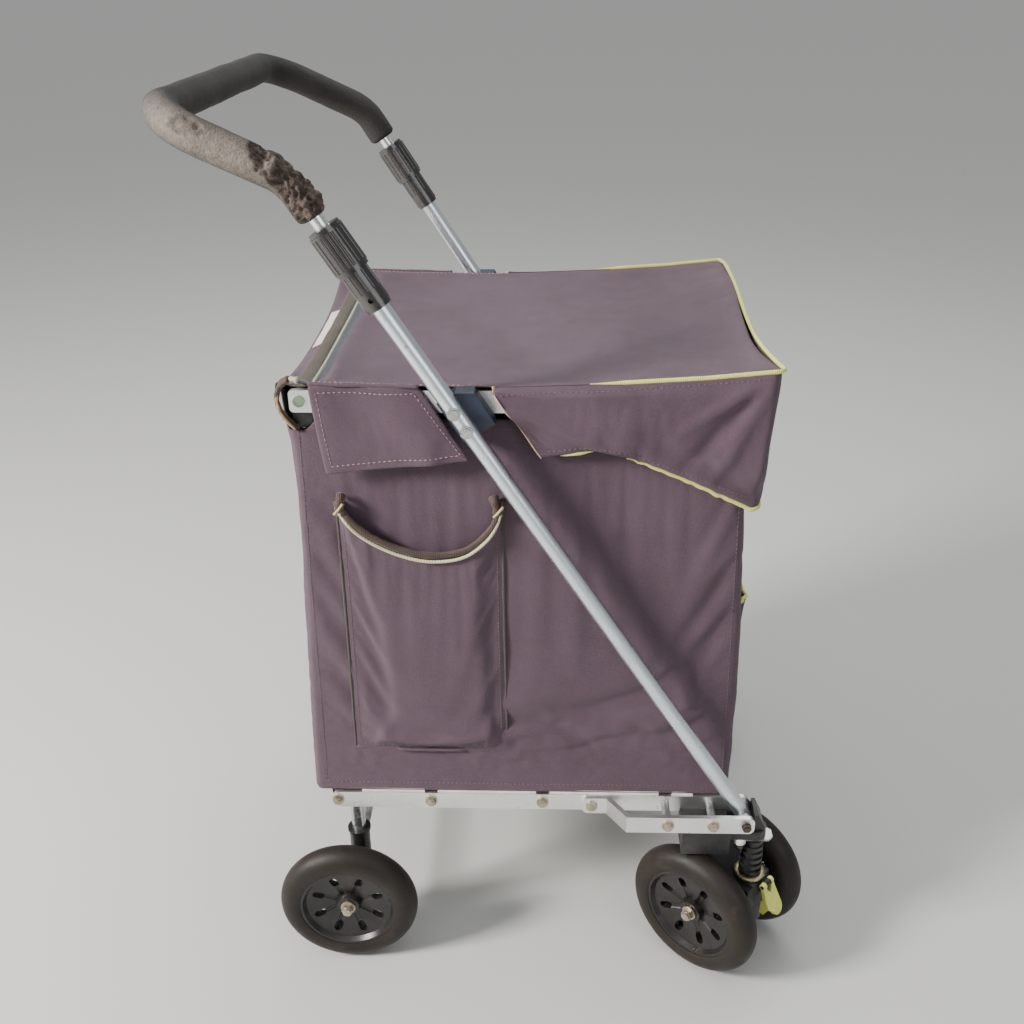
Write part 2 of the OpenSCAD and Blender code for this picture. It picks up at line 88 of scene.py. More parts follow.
def area_light(name, place, target, size, power, color):
    data = bpy.data.lights.new(name, "AREA")
    data.size, data.energy, data.color = size, power, color
    light = placed(name, data)
    light.location = place
    light.rotation_mode = "QUATERNION"
    light.rotation_quaternion = (Vector(target) - Vector(place)).to_track_quat("-Z", "Y")


def make_studio():
    area_light("key_light", (-2.2, -1.1, 1.7), (0, -0.1, 0.45), 0.6, 150, (1, 0.97, 0.93))
    area_light("top_light", (0.4, 1.2, 2.2), (0, 0, 0.5), 1.6, 22, (1, 1, 1))
    area_light("front_light", (1.3, -1.7, 1.3), (0, 0, 0.4), 1.2, 10, (0.94, 0.97, 1))
    sun = bpy.data.lights.new("sky_light", "SUN")
    sun.energy, sun.angle = 0.95, 1.1
    placed("sky_light", sun)
    world = bpy.data.worlds.new("studio")
    world.use_nodes = True
    sky = world.node_tree.nodes["Background"].inputs
    sky["Color"].default_value, sky["Strength"].default_value = (0.86, 0.88, 0.9, 1), 0.34
    bpy.context.scene.world = world
    bpy.ops.mesh.primitive_plane_add(size=400)
    floor = bpy.context.object
    floor.name = "floor"
    floor.data.materials.append(Paint("floor", (0.56, 0.56, 0.54), 0.75).material)


# ------------ materials

class Paint:
    """A principled material, with the node chains that the finishes share."""

    def __init__(self, name, color, roughness, **sockets):
        self.material = bpy.data.materials.new(name)
        self.material.use_nodes = True
        self.tree = self.material.node_tree
        self.shader = self.tree.nodes["Principled BSDF"]
        self.feed(self.shader, {"Base Color": (*color, 1), "Roughness": roughness})
        self.feed(self.shader, {socket.replace("_", " "): value for socket, value in sockets.items()})
        self.place = self.node("ShaderNodeTexCoord").outputs["Object"]
        self.height = None

    def feed(self, node, inputs):
        """Wires outputs into a node's inputs, and sets those given as numbers."""
        for name, value in inputs.items():
            if isinstance(value, bpy.types.NodeSocket):
                self.tree.links.new(value, node.inputs[name])
            else:
                node.inputs[name].default_value = value

    def node(self, kind, inputs={}, **settings):
        made = self.tree.nodes.new(kind)
        for name, value in settings.items():
            setattr(made, name, value)
        self.feed(made, inputs)
        return made

    def speckle(self, scale, detail=3, rough=0.55, stretch=None):
        place = self.place
        if stretch:
            place = self.node("ShaderNodeMapping", {"Scale": stretch, "Vector": place}).outputs["Vector"]
        inputs = {"Scale": scale, "Detail": detail, "Roughness": rough, "Vector": place}
        return self.node("ShaderNodeTexNoise", inputs).outputs["Fac"]

    def threads(self, pitch, axis, wobble=0.0):
        """Waves along one axis, faded out where the surface faces along that axis."""
        inputs = {"Scale": 2 * pi / (20 * pitch), "Distortion": wobble, "Detail": 1, "Vector": self.place}
        waves = self.node("ShaderNodeTexWave", inputs, bands_direction=axis).outputs["Fac"]
        normal = self.node("ShaderNodeTexCoord").outputs["Normal"]
        facing = self.node("ShaderNodeSeparateXYZ", {0: normal}).outputs[axis]
        across = self.math("SUBTRACT", 1, self.math("MULTIPLY", facing, facing))
        return self.math("MULTIPLY", waves, self.math("MULTIPLY", across, across))

    def cells(self, scale):
        return self.node("ShaderNodeTexVoronoi", {"Scale": scale, "Vector": self.place}).outputs["Distance"]

    def remap(self, value, low, high, to_low=0.0, to_high=1.0):
        inputs = {"Value": value, "From Min": low, "From Max": high, "To Min": to_low, "To Max": to_high}
        return self.node("ShaderNodeMapRange", inputs).outputs["Result"]

    def math(self, operation, a, b):
        return self.node("ShaderNodeMath", {0: a, 1: b}, operation=operation).outputs[0]

    def attribute(self, name):
        return self.node("ShaderNodeAttribute", attribute_name=name).outputs["Fac"]

    def tint(self, color, amount):
        """Mixes a colour over what is there, by an amount from a texture."""
        socket = self.shader.inputs["Base Color"]
        base = socket.links[0].from_socket if socket.is_linked else socket.default_value
        mix = self.node("ShaderNodeMix", {"A": base, "B": (*color, 1), "Factor": amount}, data_type="RGBA")
        self.feed(self.shader, {"Base Color": mix.outputs["Result"]})

    def mottle(self, color, scale, detail, low, high, amount, least=0.0, rough=0.55):
        """Mixes a colour over what is there, where noise of a scale lies between low and high."""
        self.tint(color, self.remap(self.speckle(scale, detail, rough), low, high, least, amount))

    def gloss(self, value, low, high):
        """Makes the roughness vary between two values."""
        self.feed(self.shader, {"Roughness": self.remap(value, 0.3, 0.7, low, high)})

    def raise_by(self, value, depth):
        """Adds relief, with its depth in metres."""
        bump = self.node("ShaderNodeBump", {"Distance": depth, "Height": value})
        if self.height:
            self.feed(bump, {"Normal": self.height})
        self.height = bump.outputs["Normal"]
        self.feed(self.shader, {"Normal": self.height})

    def grain(self, scale, detail, depth):
        """Adds relief from noise."""
        self.raise_by(self.speckle(scale, detail), depth)


def toned(color, factor, lift=0.0):
    return tuple(c * factor + lift for c in color)


def woven(name, color, sheen=0.12, pitch=0.0008, mottling=0.14):
    """Plain-woven cloth: crossing threads, uneven dye, lint and a soft sheen."""
    paint = Paint(name, color, 0.6, Sheen_Weight=sheen, Sheen_Roughness=0.4, Specular_IOR_Level=0.4)
    weave = paint.math("ADD", paint.threads(pitch, "X", 0.6), paint.threads(pitch, "Z", 0.6))
    weave = paint.math("ADD", weave, paint.threads(pitch, "Y", 0.6))
    light = tuple(min(1, c) for c in toned(color, 1.7, 0.02))
    dark = toned(color, 0.55)
    paint.mottle(light, 9, 5, 0.35, 0.75, mottling * 2)
    paint.mottle(dark, 23, 4, 0.5, 0.8, mottling * 2)
    paint.mottle((color[0] * 2.2, color[1] * 1.2, color[2] * 1.1), 620, 2, 0.54, 0.72, 0.5)
    paint.mottle((color[0] * 0.8, color[1] * 1.1, color[2] * 1.9), 540, 2, 0.56, 0.74, 0.5)
    paint.mottle(light, 1500, 2, 0.55, 0.75, 0.5)
    paint.tint(dark, paint.remap(weave, 0.6, 0.2, 0, 0.25))
    paint.gloss(paint.speckle(40, 4), 0.55, 0.72)
    paint.raise_by(weave, 0.00022)
    paint.grain(700, 2, 0.00025)
    paint.grain(55, 4, 0.0006)
    return paint


def corded(name, color, pitch=0.0016):
    """Piping or cord: close ribs round it, darker between them."""
    paint = Paint(name, color, 0.6, Sheen_Weight=0.2)
    ribs = paint.math("ADD", paint.threads(pitch, "X", 0.8), paint.threads(pitch, "Y", 0.8))
    paint.tint(toned(color, 0.55), paint.remap(ribs, 0.9, 0.2, 0, 0.45))
    paint.mottle(toned(color, 0.7), 60, 4, 0.45, 0.75, 0.6)
    paint.raise_by(ribs, 0.0003)
    return paint


def brushed(name, color, roughness, along, marks=0.25):
    """Bare metal with fine marks along one axis, dull patches and small dark scratches."""
    paint = Paint(name, color, roughness, Metallic=1.0)
    fine = paint.speckle(1, 4, 0.7, tuple(30 if a == along else 1500 for a in "XYZ"))
    patches = paint.speckle(18, 5)
    paint.tint(toned(color, 0.6), paint.remap(fine, 0.5, 0.8, 0, marks))
    paint.tint(toned(color, 0.7), paint.remap(patches, 0.45, 0.75, 0, marks * 1.5))
    paint.mottle((0.2, 0.18, 0.15), 230, 3, 0.66, 0.74, 0.5)
    paint.gloss(patches, roughness * 0.8, roughness * 1.35)
    paint.raise_by(fine, 0.00006)
    paint.grain(120, 3, 0.00012)
    return paint


def plated(name, color, roughness=0.38):
    """Plated hardware: blotchy, with rust-brown specks in its hollows."""
    paint = Paint(name, color, roughness, Metallic=0.9)
    paint.mottle(toned(color, 0.5), 90, 4, 0.45, 0.7, 0.7)
    paint.mottle((0.16, 0.09, 0.05), 300, 3, 0.6, 0.72, 0.7)
    paint.gloss(paint.speckle(150, 3), roughness * 0.7, roughness * 1.5)
    paint.grain(400, 3, 0.0001)
    return paint


def moulded(name, color, roughness, dust=0.3, dust_color=(0.32, 0.28, 0.24), grain=0.00012, shine=0.5):
    """Moulded plastic: fine grain, scuffs, and dust that settles in patches."""
    paint = Paint(name, color, roughness, Specular_IOR_Level=shine)
    paint.mottle(toned(color, 1.6, 0.01), 35, 5, 0.4, 0.75, 0.7)
    paint.mottle(dust_color, 14, 6, 0.5, 0.85, dust, rough=0.65)
    paint.mottle(dust_color, 420, 3, 0.6, 0.8, dust)
    paint.gloss(paint.speckle(60, 4), roughness * 0.8, roughness * 1.4)
    paint.grain(900, 2, grain)
    return paint


def rubber(name, color, dust_color, scuff_color):
    """Tyre rubber: dusty all over, scuffed pinkish in patches, with a fine pebble."""
    paint = Paint(name, color, 0.55, Specular_IOR_Level=0.32)
    paint.mottle(dust_color, 11, 6, 0.38, 0.72, 0.55, 0.05, rough=0.7)
    paint.mottle(scuff_color, 34, 5, 0.58, 0.74, 0.3, rough=0.75)
    paint.tint((0.01, 0.01, 0.01), paint.remap(paint.cells(260), 0.1, 0.0, 0, 0.5))
    paint.gloss(paint.speckle(30, 4), 0.42, 0.62)
    paint.grain(240, 4, 0.00025)
    return paint


def foamed():
    """Grip foam: fine pores; tan dust on its arm that also serves as a painted highlight on the side facing the
    camera and the key light; and darker torn foam where it is worn, with painted highlights on its lumps and
    painted shade in its crevices.
    """
    paint = Paint("grip_foam", (0.023, 0.021, 0.020), 0.8, Specular_IOR_Level=0.4)
    paint.mottle((0.042, 0.038, 0.035), 26, 5, 0.35, 0.75, 0.9)
    # tan dust, partly real dust and partly a painted highlight on the lit front side of the arm
    paint.tint((0.37, 0.31, 0.26), paint.math("MULTIPLY", paint.attribute("dust"),
                                               paint.remap(paint.speckle(240, 5, 0.7), 0.3, 0.75, 0.35, 1)))
    torn = paint.attribute("torn")
    paint.tint((0.044, 0.030, 0.024), torn)
    # on the torn foam: painted highlights on its lumps (lit) and painted shade in its crevices (dark cell centres)
    lit, crevice_shade = paint.remap(paint.speckle(150, 5), 0.42, 0.66), paint.remap(paint.cells(150), 0.28, 0.1)
    paint.tint((0.14, 0.10, 0.082), paint.math("MULTIPLY", torn, lit))
    paint.tint((0.012, 0.009, 0.008), paint.math("MULTIPLY", torn, crevice_shade))
    paint.grain(1300, 2, 0.0003)
    paint.raise_by(paint.cells(520), 0.0003)
    return paint


def clear_film():
    paint = Paint("clear_tab", (0.75, 0.8, 0.82), 0.25, Transmission_Weight=0.6, Alpha=0.7)
    paint.mottle((0.5, 0.5, 0.46), 300, 3, 0.4, 0.7, 0.5)
    paint.grain(200, 3, 0.0003)
    return paint


PLUM = (0.086, 0.050, 0.071)
FINISHES = (
    (woven, "bag_cloth", PLUM),
    (woven, "lining", (0.055, 0.045, 0.036), 0.1),
    # navy, dark as painted shade, for the lid's turned-down rear edge
    (woven, "navy_tape", (0.030, 0.034, 0.050), 0.2, 0.0016),
    # olive-brown lining colour, also standing in as painted shade for the gap under the lid's rear edge
    (woven, "olive_tape", (0.060, 0.050, 0.034), 0.1, 0.0016),
    (woven, "brown_binding", (0.050, 0.028, 0.020), 0.3, 0.0018, 0.4),
    (woven, "gold_binding", (0.33, 0.21, 0.09), 0.3, 0.0018, 0.4),
    (woven, "raw_edge", (0.55, 0.40, 0.27), 0.3, 0.0014, 0.3),
    (woven, "label_cloth", (0.78, 0.74, 0.70), 0.2, 0.0009, 0.05),
    (corded, "lime_piping", (0.80, 0.80, 0.20)),
    (corded, "pale_piping", (0.42, 0.44, 0.31)),
    (corded, "cream_cord", (0.66, 0.62, 0.36), 0.0026),
    (corded, "thread", (0.50, 0.32, 0.33)),
    (corded, "plum_thread", (0.17, 0.11, 0.14)),
    (corded, "gold_thread", (0.70, 0.55, 0.25)),
    (brushed, "aluminium", (0.92, 0.92, 0.90), 0.34, "X", 0.25),
    (brushed, "handle_aluminium", (0.92, 0.92, 0.91), 0.22, "Z", 0.15),
    (brushed, "tube_aluminium", (0.86, 0.94, 0.98), 0.30, "Z", 0.35),
    (plated, "zinc_steel", (0.46, 0.47, 0.46)),
    (plated, "rivet_steel", (0.60, 0.61, 0.61), 0.2),
    (plated, "dark_steel", (0.10, 0.085, 0.075), 0.4),
    # black paint guessed for the rear uprights, its darkness also standing in as painted shade inside the slits at
    # the rear wall's ends
    (moulded, "black_steel", (0.012, 0.012, 0.013), 0.35, 0.15),
    (plated, "green_zinc", (0.30, 0.38, 0.29)),
    (plated, "yellow_zinc", (0.52, 0.46, 0.36)),
    (plated, "brass", (0.50, 0.45, 0.26), 0.35),
    (moulded, "pale_plastic", (0.62, 0.61, 0.59), 0.5, 0.4),
    (moulded, "white_plastic", (0.70, 0.70, 0.68), 0.4, 0.3),
    (moulded, "black_plastic", (0.010, 0.010, 0.011), 0.36, 0.16),
    (moulded, "hub_plastic", (0.0075, 0.006, 0.0055), 0.30, 0.05),
    (moulded, "collar_plastic", (0.018, 0.014, 0.0125), 0.2, 0.03, (0.2, 0.14, 0.1), 0.00002, 1.0),
    (moulded, "navy_plastic", (0.010, 0.016, 0.036), 0.4, 0.08),
    (moulded, "lime_plastic", (0.56, 0.60, 0.12), 0.38, 0.25, (0.25, 0.2, 0.08)),
    (moulded, "board", (0.05, 0.05, 0.05), 0.6),
    (rubber, "tyre", (0.013, 0.0095, 0.0075), (0.036, 0.026, 0.020), (0.12, 0.075, 0.062)),
)
MATERIALS = {name: make(name, *settings).material for make, name, *settings in FINISHES}
MATERIALS["foam"], MATERIALS["clear_tab"] = foamed().material, clear_film().material


# ------------ mesh tools

def add_piece(name, points, faces, *materials):
    mesh = bpy.data.meshes.new(name)
    mesh.from_pydata([tuple(p) for p in points], [], faces)
    for material in materials:
        mesh.materials.append(MATERIALS[material])
    mesh.shade_smooth()
    return placed(name, mesh)


def grid_faces(rows, columns, closed=False):
    last = columns if closed else columns - 1
    return [(r * columns + c, r * columns + (c + 1) % columns,
             (r + 1) * columns + (c + 1) % columns, (r + 1) * columns + c)
            for r in range(rows - 1) for c in range(last)]


def capped(points, sides):
    """The points of a stack of rings, and the faces round it and over both ends."""
    faces = grid_faces(len(points) // sides, sides, closed=True)
    last = len(points) - sides
    return points, faces + [tuple(range(sides))[::-1], tuple(range(last, last + sides))]


def cloth_piece(name, grid, *materials, closed=False):
    """A sheet from rows of points, its thickness still to come."""
    rows, columns = grid.shape[:2]
    return add_piece(name, grid.reshape(-1, 3), grid_faces(rows, columns, closed), *materials)


def thicken(piece, thick, lined=False):
    solid = piece.modifiers.new("thickness", "SOLIDIFY")
    solid.thickness, solid.offset = thick, 0
    if lined:
        solid.material_offset = 1
    smooth = piece.modifiers.new("smooth", "SUBSURF")
    smooth.levels = smooth.render_levels = 1


def through(points, spacing):
    """A smooth curve through the given points, as points that far apart."""
    p = array(points, float)
    p = np.vstack([2 * p[0] - p[1], p, 2 * p[-1] - p[-2]])
    t = linspace(0, 1, 24, endpoint=False)[:, None]
    spans = [0.5 * (2 * b + (c - a) * t + (2 * a - 5 * b + 4 * c - d) * t ** 2
                    + (3 * b - a - 3 * c + d) * t ** 3)
             for a, b, c, d in zip(p, p[1:], p[2:], p[3:])]
    return evenly(np.vstack(spans + [p[-2:-1]]), spacing)


def evenly(line, spacing):
    steps = np.linalg.norm(np.diff(line, axis=0), axis=1)
    run = np.concatenate([[0], np.cumsum(steps)])
    stops = linspace(0, run[-1], max(2, round(run[-1] / spacing) + 1))
    return np.stack([interp(stops, run, line[:, k]) for k in range(3)], 1)


def sweep(points, radius, sides=12):
    """A capped tube along a line. radius is a number or a function of ring, outward direction and point."""
    points = array(points, float)
    ways = np.gradient(points, axis=0)
    ways /= np.linalg.norm(ways, axis=1)[:, None]
    normal = np.cross(ways[0], (0.3, 0.2, 0.93))
    rings = []
    for ring, (point, way) in enumerate(zip(points, ways)):
        normal = normal - way * (normal @ way)
        normal /= np.linalg.norm(normal)
        across = np.cross(way, normal)
        for k in range(sides):
            angle = 2 * pi * k / sides
            out = cos(angle) * normal + sin(angle) * across
            rings.append(point + out * (radius(ring, out, point) if callable(radius) else radius))
    return capped(rings, sides)


def cord_piece(name, points, radius, material, body="root", sides=12):
    piece = add_piece(name, *sweep(points, radius, sides), material)
    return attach(piece, body)


def joined(parts):
    """One set of points and faces from several."""
    points, faces = [], []
    for more_points, more_faces in parts:
        faces += [tuple(i + len(points) for i in f) for f in more_faces]
        points += list(more_points)
    return points, faces


def tree_of(*pieces):
    """The shown surface of some pieces, to lay trim on."""
    shown = bpy.context.evaluated_depsgraph_get()
    points, faces = joined([([tuple(v.co) for v in mesh.vertices], [tuple(p.vertices) for p in mesh.polygons])
                            for mesh in (p.evaluated_get(shown).to_mesh() for p in pieces)])
    return BVHTree.FromPolygons(points, faces)


def laid(tree, points, outward, lift=0.0):
    """Points dropped on a surface from outside, along -outward."""
    out = Vector(outward).normalized()
    found = []
    for point in points:
        hit = tree.ray_cast(Vector(point) + 0.03 * out, -out, 0.07)[0]
        found.append((hit if hit else Vector(point)) + lift * out)
    return array(found)


def seam(name, runs, material, body, stitch=0.003, gap=0.0017, thick=0.00042):
    """Rows of sewn stitches, each a small raised bead of thread."""
    parts = []
    for run in runs:
        line = evenly(array(run, float), stitch + gap)
        for a, b in zip(line, line[1:]):
            end = a + (b - a) * stitch / (stitch + gap)
            bead = lambda ring, out, point: thick * (0.45, 1, 0.45)[ring]
            parts.append(sweep(array([a, (a + end) / 2, end]), bead, 6))
    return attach(add_piece(name, *joined(parts), material), body)


STITCH_LIFT = 0.0002


def laid_seam(name, tree, runs, material, body="root"):
    """Stitches laid on a surface, each run with the direction that it is laid from."""
    seam(name, [laid(tree, run, outward, STITCH_LIFT) for outward, run in runs], material, body)


def ripple(points, scale, depth, seed):
    """Smooth unevenness, one number for each point."""
    shift = Vector((seed * 7.3, seed * 3.1, seed * 5.7))
    flat = array(points).reshape(-1, 3)
    return array([depth * noise.noise(Vector(p) / scale + shift) for p in flat]).reshape(points.shape[:-1])


def shares(count):
    return np.arange(count) / (count - 1)


def bump_at(distance, width):
    return np.exp(-(distance / width) ** 2)


def unit(value):
    return np.clip(value, 0, 1)


def ramp(value, start, width):
    """Rises from 0 at the start to 1, over a width."""
    return unit((value - start) / width)


def wavy(point, scale):
    return noise.noise(Vector(point) * scale)


def lumpy(radius, swing, scale, base=1.0, flat=0.0, axis=1):
    """A radius for sweep that wavers with noise and may be pressed flatter along one axis."""
    return lambda ring, out, point: radius * (base + swing * wavy(point, scale)) * (1 - flat * abs(out[axis]))


def tapered(radius, count, least, steps):
    """A radius for sweep that shrinks towards both ends of a line of that many points."""
    last = count - 1
    return lambda ring, out, point: radius * min(1, least + ring / steps, least + abs(ring - last) / steps)


# ------------ cloth settling

SEWN = []
CLOTH = {"vertex_group_mass": "held", "quality": 5, "mass": 0.12, "air_damping": 3, "bending_stiffness": 0.6,
         "tension_stiffness": 12.0, "compression_stiffness": 12.0, "shear_stiffness": 12.0 * 0.6}


def sewn(piece, held, grow, cap):
    """Notes a piece to simulate: how firmly each point is held, its spare cloth and its furthest move."""
    SEWN.append((piece, array(held, float).ravel(), grow, cap))


def settle(frames=22):
    """Lets every noted piece hang and wrinkle under its own weight, and keeps the result."""
    scene = bpy.context.scene
    scene.frame_start, scene.frame_end = 1, frames
    for piece, held, grow, _ in SEWN:
        group = piece.vertex_groups.new(name="held")
        for level in np.unique(np.round(held, 2)):
            group.add([int(i) for i in np.flatnonzero(np.round(held, 2) == level)], float(level), "REPLACE")
        cloth = piece.modifiers.new("cloth", "CLOTH")
        for name, value in CLOTH.items():
            setattr(cloth.settings, name, value)
        cloth.settings.shrink_min = -grow
        cloth.point_cache.frame_start, cloth.point_cache.frame_end = 1, frames
    for step in range(1, frames + 1):
        scene.frame_set(step)
    shown = bpy.context.evaluated_depsgraph_get()
    results = [array([v.co for v in piece.evaluated_get(shown).data.vertices]) for piece, *_ in SEWN]
    for (piece, _, _, cap), result in zip(SEWN, results):
        piece.modifiers.remove(piece.modifiers["cloth"])
        piece.vertex_groups.clear()
        start = array([v.co for v in piece.data.vertices])
        move = result - start
        far = np.linalg.norm(move, axis=1)
        move *= (cap * np.tanh(far / cap) / np.maximum(far, 1e-9))[:, None]
        piece.data.vertices.foreach_set("co", (start + move).astype(np.float32).ravel())
        piece.data.update()
    scene.frame_set(1)


# ------------ the bag's body

BODY_LOW, BODY_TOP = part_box("bag_body")[0].z, 0.627
BODY_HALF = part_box("bag_body")[1].y
PROFILE_Z = (0.206, 0.25, 0.30, 0.36, 0.43, 0.48, 0.535, 0.60, 0.66)
REAR_X = (-0.2245, -0.2240, -0.2218, -0.2190, -0.2158, -0.2135, -0.2120, -0.2125, -0.2215)
FRONT_X = (0.2155, 0.2160, 0.2155, 0.2145, 0.2110, 0.2080, 0.2050, 0.2030, 0.2025)
# creases near the walls' ends: height, depth and, for the front ones, slope and start
FRONT_CREASES = ((0.484, 0.0046, -0.10, 0.165), (0.428, 0.0042, 0.15, 0.17))
REAR_CREASES = ((0.565, 0.0026), (0.548, 0.0036), (0.512, 0.0040), (0.350, 0.0040))


def bag_outline(corner=0.008):
    """The bag's plan, anticlockwise from its rear right corner: along and across (-1..1), corner offsets."""
    spots = []
    quarter = [radians(a) for a in (0, 22.5, 45, 67.5)]
    walls = [((-1, -1), (1, -1), 74), ((1, -1), (1, 1), 62), ((1, 1), (-1, 1), 74), ((-1, 1), (-1, -1), 62)]
    for (ax, ay), (bx, by), count in walls:
        way = atan2(by - ay, bx - ax)
        dx, dy = bx - ax, by - ay
        for t in linspace(0, 1, count, endpoint=False):
            left = 1 - 2 * t
            spots.append((ax + dx * t, ay + dy * t, corner * (dx / 2) * left, corner * (dy / 2) * left))
        for a in quarter:
            turn = way - pi / 2 + a
            spots.append((bx, by, corner * (cos(turn) - abs(bx) * bx), corner * (sin(turn) - abs(by) * by)))
    return array(spots)


def rear_lip(y):
    """Height of the rear wall's slack top edge."""
    return 0.640 + 0.016 * (abs(y) / 0.165) ** 3


def build_body():
    plan = bag_outline()
    across = plan[:, 1] * BODY_HALF + plan[:, 3]
    on_rear = unit((-plan[:, 0] - 0.999) * 1e4) * unit((0.176 - abs(across)) / 0.008)
    slit = ramp(-plan[:, 0], 0.90, 0.04) * ramp(abs(across), 0.174, 0.006)
    top = BODY_TOP + on_rear * (rear_lip(across) - BODY_TOP) - 0.011 * slit
    z = BODY_LOW + 0.0005 + shares(72)[:, None] * (top - BODY_LOW)
    rear, front = interp(z, PROFILE_Z, REAR_X), interp(z, PROFILE_Z, FRONT_X)
    x = (front + rear) / 2 + plan[:, 0] * (front - rear) / 2 + plan[:, 2]
    grid = np.stack([x, across + 0 * z, z], 2)
    x, y, z = np.moveaxis(grid, 2, 0)
    droop = np.exp((BODY_LOW - z) / 0.014) * ramp(abs(y), 0.168, 0.012)
    y += np.sign(y) * 0.0097 * droop
    z -= 0.0034 * droop
    v = unit((z - BODY_LOW) / (BODY_TOP - BODY_LOW))
    flat = np.minimum(1, 12 * v * (1 - v))
    on_side = ramp(abs(y), 0.165, 0.015) * np.sin(pi * ramp(x, -0.21, 0.42)) ** 0.5
    on_end = ramp(abs(x), 0.19, 0.014) * np.sin(pi * ramp(y, -0.18, 0.36)) ** 0.5
    swell = flat * (0.0024 + ripple(grid, 0.12, 0.0046, 1) + ripple(grid, 0.045, 0.0011, 2))
    for height, depth, fall, start in FRONT_CREASES:
        swell -= depth * bump_at(z - height + fall * (x - 0.2), 0.006) * unit((x - start) / 0.03)
    for height, depth in REAR_CREASES:
        swell -= depth * bump_at(z - height + 0.15 * (x + 0.2), 0.0065) * ramp(-x, 0.165, 0.03)
    slant = 0.5 * (x - 0.05)
    swell += 0.0016 * bump_at(z - 0.30 + slant, 0.02) - 0.0016 * bump_at(z - 0.36 + slant, 0.02)
    y += np.sign(y) * on_side * swell
    x += np.sign(x) * on_end * swell * 0.8
    edge = ripple(grid, 0.05, 0.0012, 5) * unit(abs(abs(x) - 0.20) < 0.02)
    x += edge * flat
    floor = array([grid[0] * (s, s, 0) + (0, 0, BODY_LOW - 0.0002) for s in (0.04, 0.35, 0.65, 0.88, 0.975)])
    body = cloth_piece("bag_body_cloth", np.concatenate([floor, grid]), "bag_cloth", "lining", closed=True)
    loose = np.sin(pi * unit((z - BODY_LOW) / (top - BODY_LOW))) ** 0.4
    corner = bump_at(abs(x) - 0.21, 0.012) * bump_at(abs(y) - 0.178, 0.012)
    held = np.clip(1 - loose * (1 - 0.9 * corner), 0.02, 1)
    held[z < BODY_LOW + 0.012] = 1
    held[-2:] = 1
    sewn(body, np.concatenate([np.ones(floor.shape[:2]), held]), 0.014, 0.0036)
    return body


# ------------ the cover

EDGE_X = (-0.200, -0.10, -0.02, 0.08, 0.16, 0.226)
EDGE_Z = (0.664, 0.6615, 0.6605, 0.664, 0.669, 0.6755)
LID_HALF = 0.1905
HINGE_X = -0.024
FRONT_EDGE = through([(-0.191, 0.2262, 0), (-0.150, 0.2196, 0), (-0.105, 0.2158, 0), (-0.055, 0.2162, 0),
                      (0.003, 0.2190, 0), (0.077, 0.2235, 0), (0.150, 0.2256, 0), (0.178, 0.2250, 0),
                      (0.191, 0.2205, 0)], 0.003)


def cover_front(y):
    return interp(y, FRONT_EDGE[:, 0], FRONT_EDGE[:, 1])


def cover_rear(y):
    return -0.1895 - 0.0115 * (abs(y) / 0.19) ** 6


def cover_height(x, y):
    """Height of the cover, slack between its seams and turned down at its rear edge."""
    middle = unit(1 - (y / LID_HALF) ** 2)
    lengthwise = ramp(x, -0.20, 0.05) * unit((0.226 - x) / 0.07)
    sag = 0.0065 * middle ** 0.7 * lengthwise ** 0.8
    turned = np.clip((-0.172 - x) / 0.018, 0, 1.2) ** 1.3 * 0.0115 * unit((0.186 - abs(y)) / 0.03)
    return interp(x, EDGE_X, EDGE_Z) - sag - turned


def build_cover():
    y = linspace(-LID_HALF, LID_HALF, 64)[:, None]
    x = cover_rear(y) + linspace(0, 1, 74) * (cover_front(y) - cover_rear(y))
    grid = np.stack([x, y + 0 * x, cover_height(x, y)], 2)
    x, y, z = np.moveaxis(grid, 2, 0)
    inner = unit((LID_HALF - abs(y)) / 0.02)
    z += inner * (ripple(grid, 0.12, 0.0044, 3) + ripple(grid, 0.045, 0.0009, 4))
    for place, width, rise in ((-0.115, 0.020, 0.0018), (-0.02, 0.026, -0.0030), (0.085, 0.03, 0.0022)):
        ridge = (x - place) * 0.86 + (y + 0.03) * 0.5
        z += inner * rise * bump_at(ridge, width)
    cover = cloth_piece("cover_cloth", grid, "bag_cloth", "navy_tape")
    # the rear 12.5 mm of the cover, where it turns down, gets the dark navy finish as painted shade
    for face in cover.data.polygons:
        centre = face.center
        face.material_index = int(centre.x < cover_rear(centre.y) + 0.0125)
    held = np.clip(1 - inner * ramp(x, -0.19, 0.03) * unit((0.222 - x) / 0.02), 0.03, 1)
    sewn(cover, held, 0.010, 0.0030)
    return cover


SKIRT_X = (-0.025, 0.015, 0.031, 0.068, 0.094, 0.125, 0.160, 0.190, 0.2145)
SKIRT_Z = (0.6565, 0.596, 0.598, 0.6035, 0.598, 0.586, 0.571, 0.558, 0.547)
SKIRT_Y = 0.1925
SKIRT_ROWS = 24
SKIRT_FRONT = 0.2245


